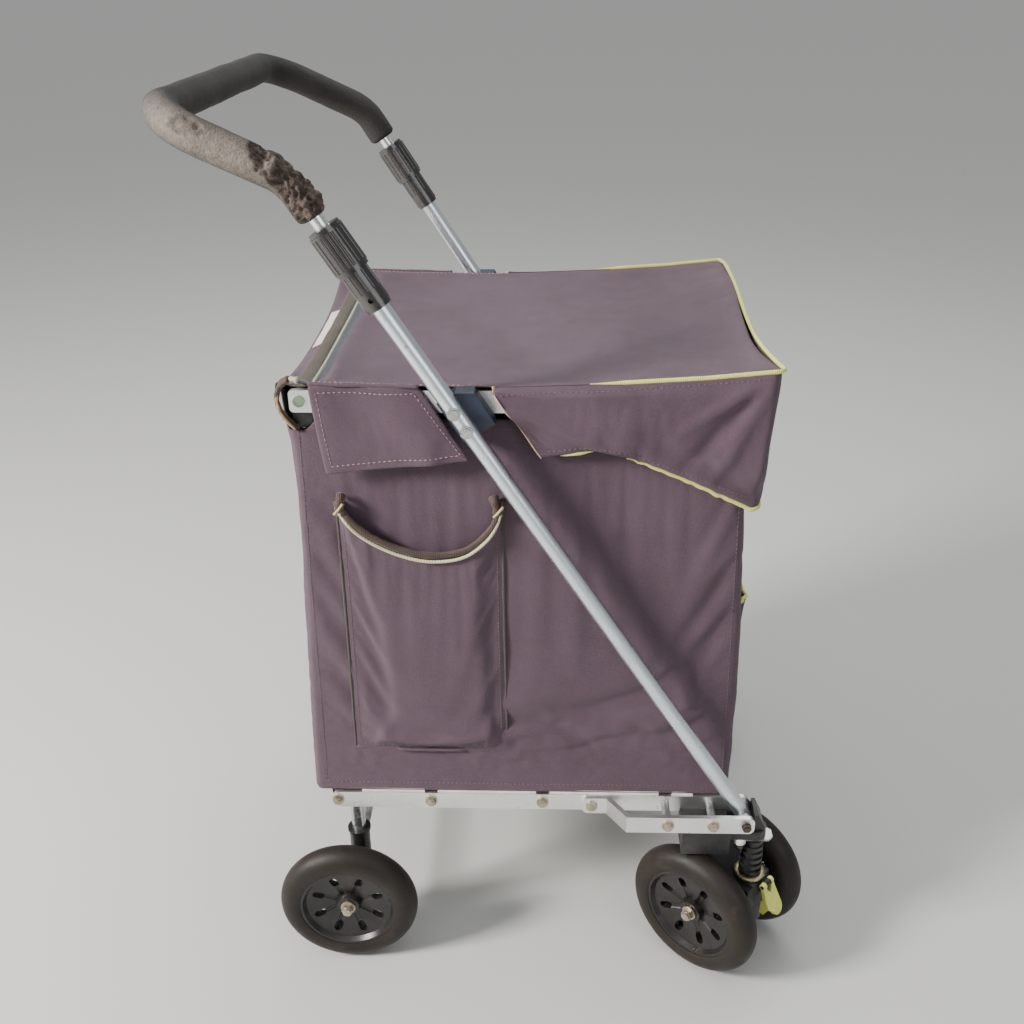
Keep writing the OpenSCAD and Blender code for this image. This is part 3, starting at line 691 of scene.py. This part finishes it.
def build_skirt():
    """The hood's skirt: down the right side, round the front and back along the left side."""
    turn = [radians(a) for a in (18, 36, 54, 72)]
    radius = 0.010
    plan = [(x, -SKIRT_Y) for x in linspace(HINGE_X - 0.001, 0.2145, 42)]
    plan += [(SKIRT_FRONT - radius + radius * sin(a), -SKIRT_Y + radius - radius * cos(a)) for a in turn]
    plan += [(SKIRT_FRONT, y) for y in linspace(-SKIRT_Y + radius, 0, 32)]
    plan += [(x, -y) for x, y in plan[-2::-1]]
    x, y = array(plan).T
    top = interp(x, EDGE_X, EDGE_Z) + 0.0004
    low = interp(x, SKIRT_X, SKIRT_Z)
    v = shares(SKIRT_ROWS)[:, None]
    inward = 1 - 0.009 * (1 - v) / 0.2245 * ramp(x, 0.1, 0.12)
    flare = 1 + 0.0022 * (1 - v) / SKIRT_Y * ramp(abs(y), 0.15, 0.03)
    grid = np.stack([x * inward, y * flare, low + v * (top - low)], 2)
    grid[..., 0] += ramp(x, 0.2170, 0.006) * v ** 5 * (np.minimum(cover_front(y), SKIRT_FRONT) - SKIRT_FRONT)
    gx, gy, gz = np.moveaxis(grid, 2, 0)
    side = ramp(abs(gy), 0.18, 0.01)
    crease = ((gz - 0.640) + 0.39 * (gx + 0.022)) / hypot(1, 0.39)
    near_tip = unit((0.105 - gx) / 0.04)
    v = (gz - low) / np.maximum(top - low, 1e-4)
    fold = 0.0034 + near_tip * (0.0040 * np.tanh(crease / 0.0035) + 0.0030 * bump_at(crease - 0.006, 0.006))
    belly = np.sin(pi * unit(v) ** 0.8)
    fold += 0.0058 * belly * ramp(gx, 0.01, 0.08) * (1 + 0.35 * np.sin(22 * gx + 3 * v))
    fold += 0.0035 * bump_at(v - 0.42 + 1.2 * (gx - 0.12), 0.13) * ramp(gx, 0.06, 0.03)
    fold -= 0.0042 * bump_at(v - 0.18 + 1.6 * (gx - 0.17), 0.10) * ramp(gx, 0.10, 0.03)
    for lean, width, rise in ((0.62, 0.0055, 0.0036), (1.15, 0.0065, -0.0032), (2.1, 0.006, 0.0030)):
        ray = ((gz - 0.672) - lean * (gx - 0.216)) / hypot(1, lean)
        fold += rise * bump_at(ray, width) * ramp(gx, 0.125, 0.04) * unit(v / 0.3)
    drop = unit(1.4 - v)
    fold += drop * (ripple(grid, 0.07, 0.0036, 7) + ripple(grid, 0.028, 0.0010, 8))
    fold *= unit((1 - v) / 0.12)
    gy += np.sign(gy) * side * np.maximum(fold, -0.0012)
    ends = (1 - side) * ramp(gx, 0.2, 0.01)
    bulge = ripple(grid, 0.08, 0.0045, 9) + 0.0022 * np.sin(2.4 * pi * v + 0.5)
    gx += ends * unit((1 - v) / 0.15) * bulge
    skirt = cloth_piece("hood_skirt_cloth", grid, "bag_cloth", "lining")
    held = np.clip(v ** 1.5, 0.05, 1)
    held[0] = 0.5
    sewn(skirt, held, 0.012, 0.0028)
    return skirt


FLAP_CORNERS = {"low_rear": (-0.1790, 0.5805), "low_front": (-0.0475, 0.5945),
                "top_front": (-0.093, 0.6615), "top_rear": (-0.190, 0.663)}


def build_flap(place, side):
    """A side flap of the lid, hanging over the top bar."""
    rows, columns = 18, 24
    u, v = shares(columns)[:, None], shares(rows)[:, None, None]
    low_rear, low_front, top_front, top_rear = (array(p) for p in FLAP_CORNERS.values())
    sheet = (1 - v) * ((1 - u) * low_rear + u * low_front) + v * ((1 - u) * top_rear + u * top_front)
    u, v = u[:, 0], v[..., 0]
    stand = 0.1925 + (1 - v) * (0.0080 + 0.0030 * u)
    stand += 0.0030 * np.sin(pi * (0.15 + 0.85 * (1 - v))) * np.sin(3.0 * pi * u + 1.6 * v)
    grid = np.stack([sheet[..., 0], side * stand, sheet[..., 1]], 2)
    wave = ripple(grid, 0.035, 0.0018, 11 + side) * linspace(1, 0, rows)[:, None]
    grid[..., 1] += side * np.maximum(wave, -0.001)
    flap = cloth_piece(f"lid_flap_{place}_cloth", grid, "bag_cloth")
    held = np.repeat(linspace(0.08, 1, rows)[:, None] ** 1.6, columns, 1)
    sewn(flap, held, 0.012, 0.0022)
    return flap


# ------------ pockets

POCKET_X = (-0.1755, -0.0195)
POCKET_LOW = 0.2580
# the scooped mouth: share of the pocket's width and height
MOUTH = ((0, 0.547), (0.12, 0.5235), (0.28, 0.5060), (0.46, 0.4955), (0.62, 0.4935), (0.77, 0.4990),
         (0.89, 0.5140), (0.96, 0.530), (1, 0.549))
# share of its height, and where its two upright folds lie across it
FOLD_V = (0, 0.08, 0.20, 0.38, 0.62, 0.85, 1)
FOLD_REAR = (0.11, 0.17, 0.27, 0.25, 0.22, 0.10, 0.03)
FOLD_FRONT = (0.93, 0.91, 0.88, 0.90, 0.87, 0.85, 0.97)


def turned_in(grid, edges, axis, wall):
    """Adds a pocket's two edges and its foot, turned in to meet the bag's wall."""
    for edge in edges:
        edge[..., axis] = wall
    grid = np.concatenate([edges[0], grid, edges[1]], 1)
    foot = grid[:1].copy()
    foot[..., axis] = np.ravel(wall)[0]
    return np.concatenate([foot, grid])


def pocket_piece(name, grid, loose, grow, cap):
    pocket = cloth_piece(name, grid, "bag_cloth", "lining")
    held = np.ones(grid.shape[:2])
    held[3:-2, 4:-4] = loose
    sewn(pocket, held, grow, cap)
    return pocket


def build_side_pocket():
    u, v = shares(40), shares(52)[:, None]
    smooth = through([(u, z, 0) for u, z in MOUTH], 0.004)
    z = POCKET_LOW + v * (interp(u, smooth[:, 0], smooth[:, 1]) - POCKET_LOW)
    taper = 0.0015 * (1 - v)
    x = POCKET_X[0] - taper + u * (POCKET_X[1] - POCKET_X[0] + 2 * taper)
    rear_fold, front_fold = interp(v, FOLD_V, FOLD_REAR), interp(v, FOLD_V, FOLD_FRONT)
    slope = np.minimum(1, np.minimum(u / rear_fold, (1 - u) / (1 - front_fold)))
    face = 0.25 * (1 + np.tanh((u - rear_fold) / 0.028)) * (1 + np.tanh((front_fold - u) / 0.035))
    height = 0.0098 * np.minimum(1, v / 0.07) * (1 - 0.25 * v) + 0.0022 * np.sin(pi * v)
    belly = 0.0024 + height * (0.40 * slope + 0.60 * face)
    grid = np.stack([x, -BODY_HALF - 0.0012 - belly, z], 2)
    x, z = grid[..., 0], grid[..., 2]
    tension = 0.0020 * bump_at(z - 0.482 - 0.35 * abs(x + 0.09), 0.008) * unit(1 - abs(x + 0.0975) / 0.07)
    grid[..., 1] += tension - ripple(grid, 0.05, 0.0016, 13) * unit(np.sin(pi * (x + 0.1755) / 0.156))
    edges = [grid[:, :1] - (0.0004, 0, 0), grid[:, -1:] + (0.0004, 0, 0)]
    grid = turned_in(grid, edges, 1, -BODY_HALF - 0.0016)
    grid[0, :, 2] -= 0.0004
    return pocket_piece("side_pocket_cloth", grid, 0.06, 0.016, 0.0035)


FRONT_POCKET_HALF, FRONT_POCKET_LOW, FRONT_POCKET_TOP = 0.126, 0.252, 0.407


def build_front_pocket():
    rows, columns = 26, 40
    u, v = np.meshgrid(linspace(-1, 1, columns), linspace(0, 1, rows))
    y = u * FRONT_POCKET_HALF
    z = FRONT_POCKET_LOW + v * (FRONT_POCKET_TOP - FRONT_POCKET_LOW) - 0.006 * v * np.cos(u * pi / 2)
    wall = interp(z, PROFILE_Z, FRONT_X)
    full = unit(np.cos(u * pi / 2)) ** 0.4
    grid = np.stack([wall + 0.0045 + full * (0.002 + 0.0055 * v), y, z], 2)
    grid[..., 0] += full * ripple(grid, 0.05, 0.003, 15) + (1 - full) * (0.005 * v + 0.007 * v ** 6)
    grid = turned_in(grid, [grid[:, :1].copy(), grid[:, -1:].copy()], 0, wall[:, :1] + 0.0022)
    return pocket_piece("front_pocket_cloth", grid, 0.08, 0.012, 0.0025)


# ------------ trim on the bag

def trim_body(tree):
    """Stitches along the hems and upright seams of the bag's walls."""
    hem = BODY_TOP - 0.0085
    runs = []
    for side in (-1, 1):
        walls = [[(x, hem) for x in linspace(-0.200, 0.193, 60)]]
        for x0, x1 in ((-0.2035, -0.2115), (0.197, 0.2085)):
            walls.append([(interp(z, (0.22, 0.62), (x1, x0)), z) for z in linspace(0.215, 0.622, 60)])
        walls.append([(x, BODY_LOW + 0.007) for x in linspace(-0.210, 0.205, 60)])
        runs += [((0, side, 0), [(x, side * BODY_HALF, z) for x, z in wall]) for wall in walls]
    runs.append(((1, 0, 0), [(0.203, y, hem) for y in linspace(-0.172, 0.172, 50)]))
    runs.append(((-1, 0, 0), [(-0.215, y, rear_lip(y) - 0.007) for y in linspace(-0.160, 0.160, 50)]))
    laid_seam("body_stitching", tree, runs, "plum_thread")


def pocket_trim(tree):
    """The side pocket's ridge seams, its gathered mouth binding, cord and the bunched ears at its corners."""
    out = (0, -1, 0)
    left, right = POCKET_X
    wide, inset, near = 0.0015, 0.0055, -0.19
    low = [(left - wide, near, POCKET_LOW), (-0.0975, near, POCKET_LOW - 0.001),
           (right + wide, near, POCKET_LOW)]
    sides = {"rear": [low[0], (left, near, 0.40), (left + 0.0005, near, 0.538)],
             "front": [low[2], (right, near, 0.40), (right - 0.0005, near, 0.540)], "low": low}
    for place, line in sides.items():
        path = laid(tree, through(line, 0.006), out, -0.0004)
        cord_piece(f"pocket_ridge_{place}", path, lumpy(0.0017, 0.25, 160),
                   "bag_cloth" if place == "low" else "lining", sides=10)
    runs = [[(x + way, near, z) for x, _, z in through(sides[place], 0.01)]
            for place, way in (("rear", inset), ("front", -inset))]
    runs.append([(x, near, z + inset) for x, _, z in through(low, 0.01)][1:-1])
    laid_seam("pocket_stitching", tree, [(out, run) for run in runs], "plum_thread")
    mouth = through([(left + u * (right - left), -0.192, z) for u, z in MOUTH], 0.0035)
    mouth = laid(tree, mouth - array((0, 0, 0.003)), out)
    cord_piece("pocket_binding", mouth + array((0, -0.0005, 0.0028)), lumpy(0.0036, 0.16, 260, flat=0.42),
               "brown_binding", sides=16)
    twist = lambda ring, way, point: 0.00155 * (1 + 0.12 * sin(ring * 1.9 + 3 * atan2(way[2], way[1])))
    cord = through(mouth + array((0, -0.0022, -0.0032)), 0.0011)
    cord_piece("pocket_cord", cord, twist, "cream_cord", sides=10)
    for place, x, z, lean in (("rear", left + 0.0035, 0.5475, 0.25), ("front", right - 0.0045, 0.5455, -0.35)):
        knot = [(x, -0.1885, z - 0.013), (x + 0.002 * lean, -0.1935, z - 0.005),
                (x + 0.008 * lean, -0.1950, z + 0.003), (x + 0.012 * lean, -0.1895, z + 0.0065)]
        cord_piece(f"pocket_ear_{place}", through(knot, 0.0012), lumpy(0.0060, 0.55, 230, 0.75, 0.25),
                   "brown_binding", sides=16)
        loose = [(x + dx, y, z + dz) for dx, y, dz in ((-0.004, -0.1975, -0.010), (0.001, -0.1992, -0.004),
                                                       (0.005, -0.1980, 0.001))]
        cord_piece(f"pocket_ear_thread_{place}", through(loose, 0.001), 0.0011, "gold_thread", sides=8)


def front_pocket_trim(tree):
    half, low = FRONT_POCKET_HALF, FRONT_POCKET_LOW
    lip = [(0.2, y, FRONT_POCKET_TOP - 0.001 - 0.006 * cos(y / half * pi / 2))
           for y in linspace(-half, half, 40)]
    path = laid(tree, lip, (1, 0, 0), 0.0008)
    loop = ((-0.0125, 0.0016, -0.0030), (-0.0060, 0.0024, -0.0032), (0.0004, 0.0016, -0.0018))
    ends = [[path[k] + array((dx, way * dy, dz)) for dx, dy, dz in loop] for k, way in ((0, -1), (-1, 1))]
    path = np.vstack([ends[0], path, ends[1][::-1]])
    cord_piece("front_pocket_piping", through(path, 0.002), 0.0019, "lime_piping")
    runs = [[(0.2, s * (half - 0.005), z) for z in linspace(low + 0.003, 0.396, 30)] for s in (-1, 1)]
    runs.append([(0.2, y, low + 0.005) for y in linspace(-half + 0.006, half - 0.006, 40)])
    laid_seam("front_pocket_stitching", tree, [((1, 0, 0), run) for run in runs], "thread")


def cover_edge(x0, x1, side):
    return [(x, side * (LID_HALF + 0.0015), interp(x, EDGE_X, EDGE_Z) + 0.001) for x in linspace(x0, x1, 30)]


def trim_cover(cover_tree, skirt_tree, skirt):
    """Lime piping round the hood's top and along its skirt, pale piping on the lid's rear edge."""
    front = [(cover_front(y) + 0.0012, y, 0.6762) for y in linspace(-LID_HALF + 0.004, LID_HALF - 0.004, 40)]
    path = through(cover_edge(0.058, 0.222, -1) + front + cover_edge(0.078, 0.222, 1)[::-1], 0.003)
    cord_piece("hood_top_piping", path, tapered(0.0020, len(path), 0.15, 12), "lime_piping")
    rear = [(cover_rear(y) - 0.0008, y, cover_height(cover_rear(y), y) + 0.0006)
            for y in linspace(-0.188, 0.188, 60)]
    cord_piece("lid_rear_piping", through(rear, 0.004), 0.0020, "pale_piping", "lid")
    low = array([v.co for v in skirt.data.vertices]).reshape(SKIRT_ROWS, -1, 3)[0]
    count = len(low)
    point, tip, ends, start = (int(np.argmin(abs(low[:count // 2, 0] - x)))
                               for x in (0.015, 0.033, 0.066, 0.094))
    path = through(low[start:count - start] + array((0, 0, -0.0012)), 0.003)
    cord_piece("hood_skirt_piping", path, tapered(0.0020, len(path), 0.15, 12), "lime_piping")
    for place, line in (("right", low[tip:ends]), ("left", low[count - ends:count - tip][::-1])):
        path = through(line + array((0, 0, -0.0008)), 0.003)
        cord_piece(f"hood_tip_piping_{place}", path, tapered(0.0018, len(path), 0.2, 5), "lime_piping")
    for place, line in (("right", low[:point + 1]), ("left", low[count - point - 1:])):
        cord_piece(f"hood_raw_edge_{place}", through(line, 0.002), 0.0007, "raw_edge", sides=8)
    runs = []
    for side in (-1, 1):
        for xs, zs, x0, x1, rise in ((EDGE_X, EDGE_Z, -0.020, 0.212, -0.004),
                                     (SKIRT_X, SKIRT_Z, 0.022, 0.205, 0.005)):
            line = [(x, side * LID_HALF, interp(x, xs, zs) + rise) for x in linspace(x0, x1, 50)]
            runs.append(((0, side, 0), line))
    laid_seam("hood_stitching", skirt_tree, runs, "plum_thread")
    runs = [((0, 0, 1), [(x, side * (LID_HALF - 0.0035), 0.66) for x in linspace(-0.186, -0.030, 40)])
            for side in (-1, 1)]
    laid_seam("lid_stitching", cover_tree, runs, "thread", "lid")
    for place, side in SIDES.items():
        tack = ((-0.027, 0.1915, 0.6555), (-0.026, 0.1935, 0.6585), (-0.0265, 0.1925, 0.6620))
        cord_piece(f"tack_{place}", through(tack * array((1, side, 1)), 0.001), 0.0014, "gold_thread", sides=8)


def flap_trim(flap, place, side):
    """A stitched line inside a flap's edges, and the fold that joins it to the lid."""
    corner = {k: array((p[0], 0, p[1])) for k, p in FLAP_CORNERS.items()}
    middle = sum(corner.values()) / 4
    loop = [corner[k] + (middle - corner[k]) * array((0.11, 0, 0.17)) + array((0, side * 0.195, 0))
            for k in ("top_rear", "low_rear", "low_front", "top_front", "top_rear")]
    runs = [((0, side, 0), through(ends, 0.01)) for ends in zip(loop, loop[1:])]
    laid_seam(f"lid_flap_stitching_{place}", tree_of(flap), runs, "thread", "lid")
    top = [(x, side * (LID_HALF + 0.0022), interp(x, EDGE_X, EDGE_Z) + 0.0002)
           for x in linspace(-0.190, -0.092, 30)]
    cord_piece(f"lid_flap_fold_{place}", top, lumpy(0.0018, 0.3, 120), "bag_cloth", "lid", 10)


def corner_binding():
    """Frayed gold and brown binding down each slit at the rear wall's ends."""
    slit = ((-0.2060, 0.1842, 0.6190), (-0.2145, 0.1846, 0.6290), (-0.2195, 0.1842, 0.6390),
            (-0.2205, 0.1832, 0.6490), (-0.2165, 0.1820, 0.6590), (-0.2085, 0.1840, 0.6655))
    bunch = ((-0.2080, 0.1790, 0.6620), (-0.2040, 0.1850, 0.6655), (-0.1985, 0.1885, 0.6660))
    for place, side in SIDES.items():
        mirror = array((1, side, 1))
        path = through(slit * mirror, 0.0012)
        flat = lumpy(0.0042, 0.3, 190, flat=0.5, axis=0)
        cord_piece(f"corner_binding_{place}", path, flat, "brown_binding", sides=14)
        gold = path[:len(path) * 2 // 3] + array((0.0006, side * 0.0034, -0.0006))
        cord_piece(f"corner_gold_{place}", gold, lumpy(0.0013, 0.5, 240, 0.9), "gold_binding", sides=10)
        cord_piece(f"corner_bunch_{place}", through(bunch * mirror, 0.0012), lumpy(0.0034, 0.5, 260, 0.8),
                   "pale_piping", "lid")


def rear_facing():
    """The facing from the lid's rear piping over the rod to the wall's top edge, with a blank care label."""
    across = linspace(-0.174, 0.174, 70)

    def crossing(t, y):
        lip = rear_lip(y)
        points = array([(-0.1885, 0.6475), (-0.1945, 0.6525), (-0.2020, 0.6528),
                        (-0.2095, (0.6528 + lip) / 2 - 0.0012), (-0.2195, lip + 0.0006),
                        (-0.2232, lip - 0.0015), (-0.2238, lip - 0.009)])
        reach = linspace(0, 1, len(points))
        return interp(t, reach, points[:, 0]), y, interp(t, reach, points[:, 1])

    def band(starts, ends, spots, lift, name, material):
        grid = array([[crossing(t, y) for y in spots] for t in linspace(starts, ends, 17)]) + (0, 0, lift)
        grid[..., 2] += ripple(grid, 0.03, 0.0012, 21) * 0.7
        return cloth_piece(name, grid, material)

    facing = band(0, 1, across, 0, "rear_facing_cloth", "bag_cloth")
    # the strip nearest the lid's piping gets the olive-brown lining colour, which also stands in as painted shade
    # of the gap under the lid's rear edge
    facing.data.materials.append(MATERIALS["olive_tape"])
    for face in facing.data.polygons:
        face.material_index = int(face.center.x > -0.2055)
    thicken(facing, 0.0010)
    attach(facing, "root")
    label = band(0.49, 0.655, linspace(-0.030, 0.085, 16), 0.0011, "care_label", "label_cloth")
    thicken(label, 0.0005)
    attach(label, "root")


def build_bag():
    body, cover, skirt = build_body(), build_cover(), build_skirt()
    flaps = {place: build_flap(place, side) for place, side in SIDES.items()}
    pocket, front_pocket = build_side_pocket(), build_front_pocket()
    settle()
    for piece, node, thick in ((body, "bag_body", 0.0018), (skirt, "hood", 0.0014),
                               (pocket, "side_pocket", 0.0012), (front_pocket, "front_pocket", 0.0012)):
        thicken(piece, thick, lined=True)
        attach(piece, "root")
        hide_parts(node)
    thicken(cover, 0.0014)
    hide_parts("lid_flap")
    for flap in flaps.values():
        thicken(flap, 0.0022)
        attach(flap, "lid")
    trim_body(tree_of(body))
    pocket_trim(tree_of(pocket))
    front_pocket_trim(tree_of(front_pocket))
    trim_cover(tree_of(cover), tree_of(skirt), skirt)
    for place, side in SIDES.items():
        flap_trim(flaps[place], place, side)
    corner_binding()
    rear_facing()
    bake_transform(cover)


# ------------ the foam grip

FOOT = array((0.230, 0.0, 0.192))
TUBE_HALF = 0.208
LEAN, BEND = radians(32.6), radians(32.9)
BEND_ALONG, REACH, BEND_RADIUS, CORNER_RADIUS, FOAM_FROM = 0.772, 0.116, 0.050, 0.045, 0.736


def handle_line():
    """The bar's centre line through the foam, from the right arm's end round to the left arm's."""
    up_tube = array((-sin(LEAN), 0, cos(LEAN)))
    up_arm = array((-sin(LEAN + BEND), 0, cos(LEAN + BEND)))
    inward = array((-cos(LEAN), 0, -sin(LEAN)))
    cut = BEND_RADIUS * tan(BEND / 2)
    start = FOOT + up_tube * (BEND_ALONG - cut)
    centre = start + inward * BEND_RADIUS
    line = [FOOT + up_tube * s for s in linspace(FOAM_FROM, BEND_ALONG - cut, 12, endpoint=False)]
    line += [centre + BEND_RADIUS * (-inward * cos(a) + up_tube * sin(a)) for a in linspace(0, BEND, 14)]
    arm_end = line[-1] + up_arm * (REACH - cut - CORNER_RADIUS)
    line.append(arm_end)
    line = [p + array((0, -TUBE_HALF, 0)) for p in line]
    hub = arm_end + array((0, -TUBE_HALF + CORNER_RADIUS, 0))
    line += [hub + CORNER_RADIUS * (array((0, -cos(a), 0)) + up_arm * sin(a))
             for a in linspace(0, pi / 2, 16)[1:]]
    half = evenly(array(line + [line[-1] * array((1, 0, 1))]), 0.0011)
    return np.vstack([half, half[-2::-1] * array((1, -1, 1))])


def build_grip():
    line = handle_line()
    run = np.concatenate([[0], np.cumsum(np.linalg.norm(np.diff(line, axis=0), axis=1))])
    radius = 0.0148
    torn_until, patch_at = 0.068, 0.117
    torn_side, patch_side = array((0.78, -0.20, 0.59)), array((0.10, -0.86, 0.50))

    def wear(ring, out, point):
        """How torn the foam is here, from 0 to 1: its first stretch, and one patch near the corner."""
        spot = point + radius * out
        ragged = wavy(spot, 70) + 0.5 * wavy(spot, 170)
        low_side = np.clip(0.25 - out @ torn_side, 0, 1.3)
        reach = torn_until - 0.055 * low_side + 0.014 * ragged
        whole = unit((0.62 + 0.9 * ragged + (0.03 - run[ring]) * 12) / 0.25)
        patch = hypot((run[ring] - patch_at) / 0.013, (1 - out @ patch_side) / 0.17) + 0.5 * ragged
        return float(max(unit((reach - run[ring]) / 0.003) * whole, 0.4 * unit((1 - patch) / 0.15)))

    def surface(ring, out, point):
        spot = point + radius * out
        torn = wear(ring, out, point)
        lumps = abs(wavy(spot, 62)) * 0.0062 - abs(wavy(spot, 150)) * 0.0046 - abs(wavy(spot, 310)) * 0.0018
        ends = min(run[ring], run[-1] - run[ring])
        rounded = 0.0035 * (1 - min(1, ends / 0.004)) ** 2
        soft = 0.0007 * wavy(spot, 22) + 0.0002 * wavy(spot, 90)
        return radius + soft - rounded - torn * (0.0030 - lumps)

    sides = 72
    points, faces = sweep(line, surface, sides)
    grip = add_piece("foam_grip_worn", points, faces, "foam")
    torn, dust = [], []
    for i, point in enumerate(points):
        ring = i // sides
        out = (point - line[ring]) / np.linalg.norm(point - line[ring])
        torn.append(wear(ring, out, line[ring]))
        # dust mask: tan dust on the arm, plus a painted highlight, strongest on the side facing the camera and the
        # key light rather than on the top
        near = unit(1 - abs(run[ring] - 0.09) / 0.08) ** 0.6
        dust.append(float(unit(out @ array((-0.35, -0.80, 0.35))) ** 0.8 * (0.05 + 0.95 * near)))
    for name, values in (("torn", torn), ("dust", dust)):
        grip.data.attributes.new(name, "FLOAT", "POINT").data.foreach_set("value", values)
    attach(grip, "handle")
    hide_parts("foam_grip")


# ------------ small hardware

def lathe(profile, place):
    """A turned shape: (radius, height) points about a vertical axis at a place."""
    sides = 40
    x, y, z = place
    points = [(x + r * cos(2 * pi * k / sides), y + r * sin(2 * pi * k / sides), z + h)
              for r, h in profile for k in range(sides)]
    return capped(points, sides)


def caster_hardware():
    """Brass dust ring under each caster housing, a white cap on its block's bolt and a clear tab behind it.
    The profiles and the tab's outline are in millimetres."""
    ring = [(12.0, 0.4), (15.6, 0.2), (16.4, 1.0), (16.4, 2.6), (15.6, 3.4), (12.0, 3.2)]
    cap = [(4.6, 7.6), (6.0, 8.2), (6.3, 9.0), (6.3, 14.0), (5.8, 14.8), (3.0, 15.2)]
    shank = [(2.6, 0.4), (4.3, 0.9), (4.6, 1.8), (4.6, 8.0)]
    outline = [(-20, -9), (14, -9), (19, -4), (19, 6), (14, 10), (-20, 10)]
    count = len(outline)
    for place, side in SIDES.items():
        low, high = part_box(f"caster_housing_{place}")
        x0, y0, _ = next(j["pos_m"] for j in frame["joints"] if j["name"] == f"caster_swivel_{place}")
        bolt = (x0 - 0.0155, y0 + side * 0.0065, high.z - 0.0152)
        pieces = []
        for name, profile, spot, finish, slot in (
                ("swivel_ring", ring, (x0, y0, low.z - 0.0040), "brass", "yellow_zinc"),
                ("caster_cap", cap, bolt, "white_plastic", "pale_plastic"),
                ("caster_bolt", shank, bolt, "dark_steel", "black_steel")):
            profile = [(r / 1000, h / 1000) for r, h in profile]
            pieces.append((add_piece(f"{name}_{place}", *lathe(profile, spot), finish), slot))
        points = [(x0 + x / 1000, y0 + side * -y / 1000, high.z - z / 1000)
                  for z in (3.4, 1.2) for x, y in outline]
        faces = [tuple(range(count)), tuple(range(count, 2 * count))[::-1]]
        faces += [(i, (i + 1) % count, (i + 1) % count + count, i + count) for i in range(count)]
        tab = add_piece(f"caster_tab_{place}", points, faces, "clear_tab")
        tab.data.shade_flat()
        for piece, slot in pieces + [(tab, "pale_plastic")]:
            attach(piece, "root")


def assign_cad_materials():
    """Every CAD node that stays in view gets its finish from its record slot, or a better one of its own."""
    own = {"handle_bar": "handle_aluminium", "bracket_rivets": "rivet_steel", "top_bar_screws": "green_zinc",
           "rear_leg_left": "rivet_steel", "rear_leg_right": "rivet_steel"}
    slots = {row["node"]: row["material_slot"] for row in frame["record"]["subparts"]}
    for name, node in NODES.items():
        finish = own.get(name, slots[name])
        node.data.materials.clear()
        node.data.materials.append(MATERIALS[finish])


def darken_foot_bolts():
    """The bolt at each tube's foot is dark, unlike the plated ones beside it."""
    bolts = NODES["base_bolts"]
    bolts.data.materials.append(MATERIALS["dark_steel"])
    for face in bolts.data.polygons:
        face.material_index = int(face.center.x > FOOT[0] - 0.015)


def main():
    make_camera()
    make_studio()
    assign_cad_materials()
    darken_foot_bolts()
    build_bag()
    build_grip()
    caster_hardware()


main()
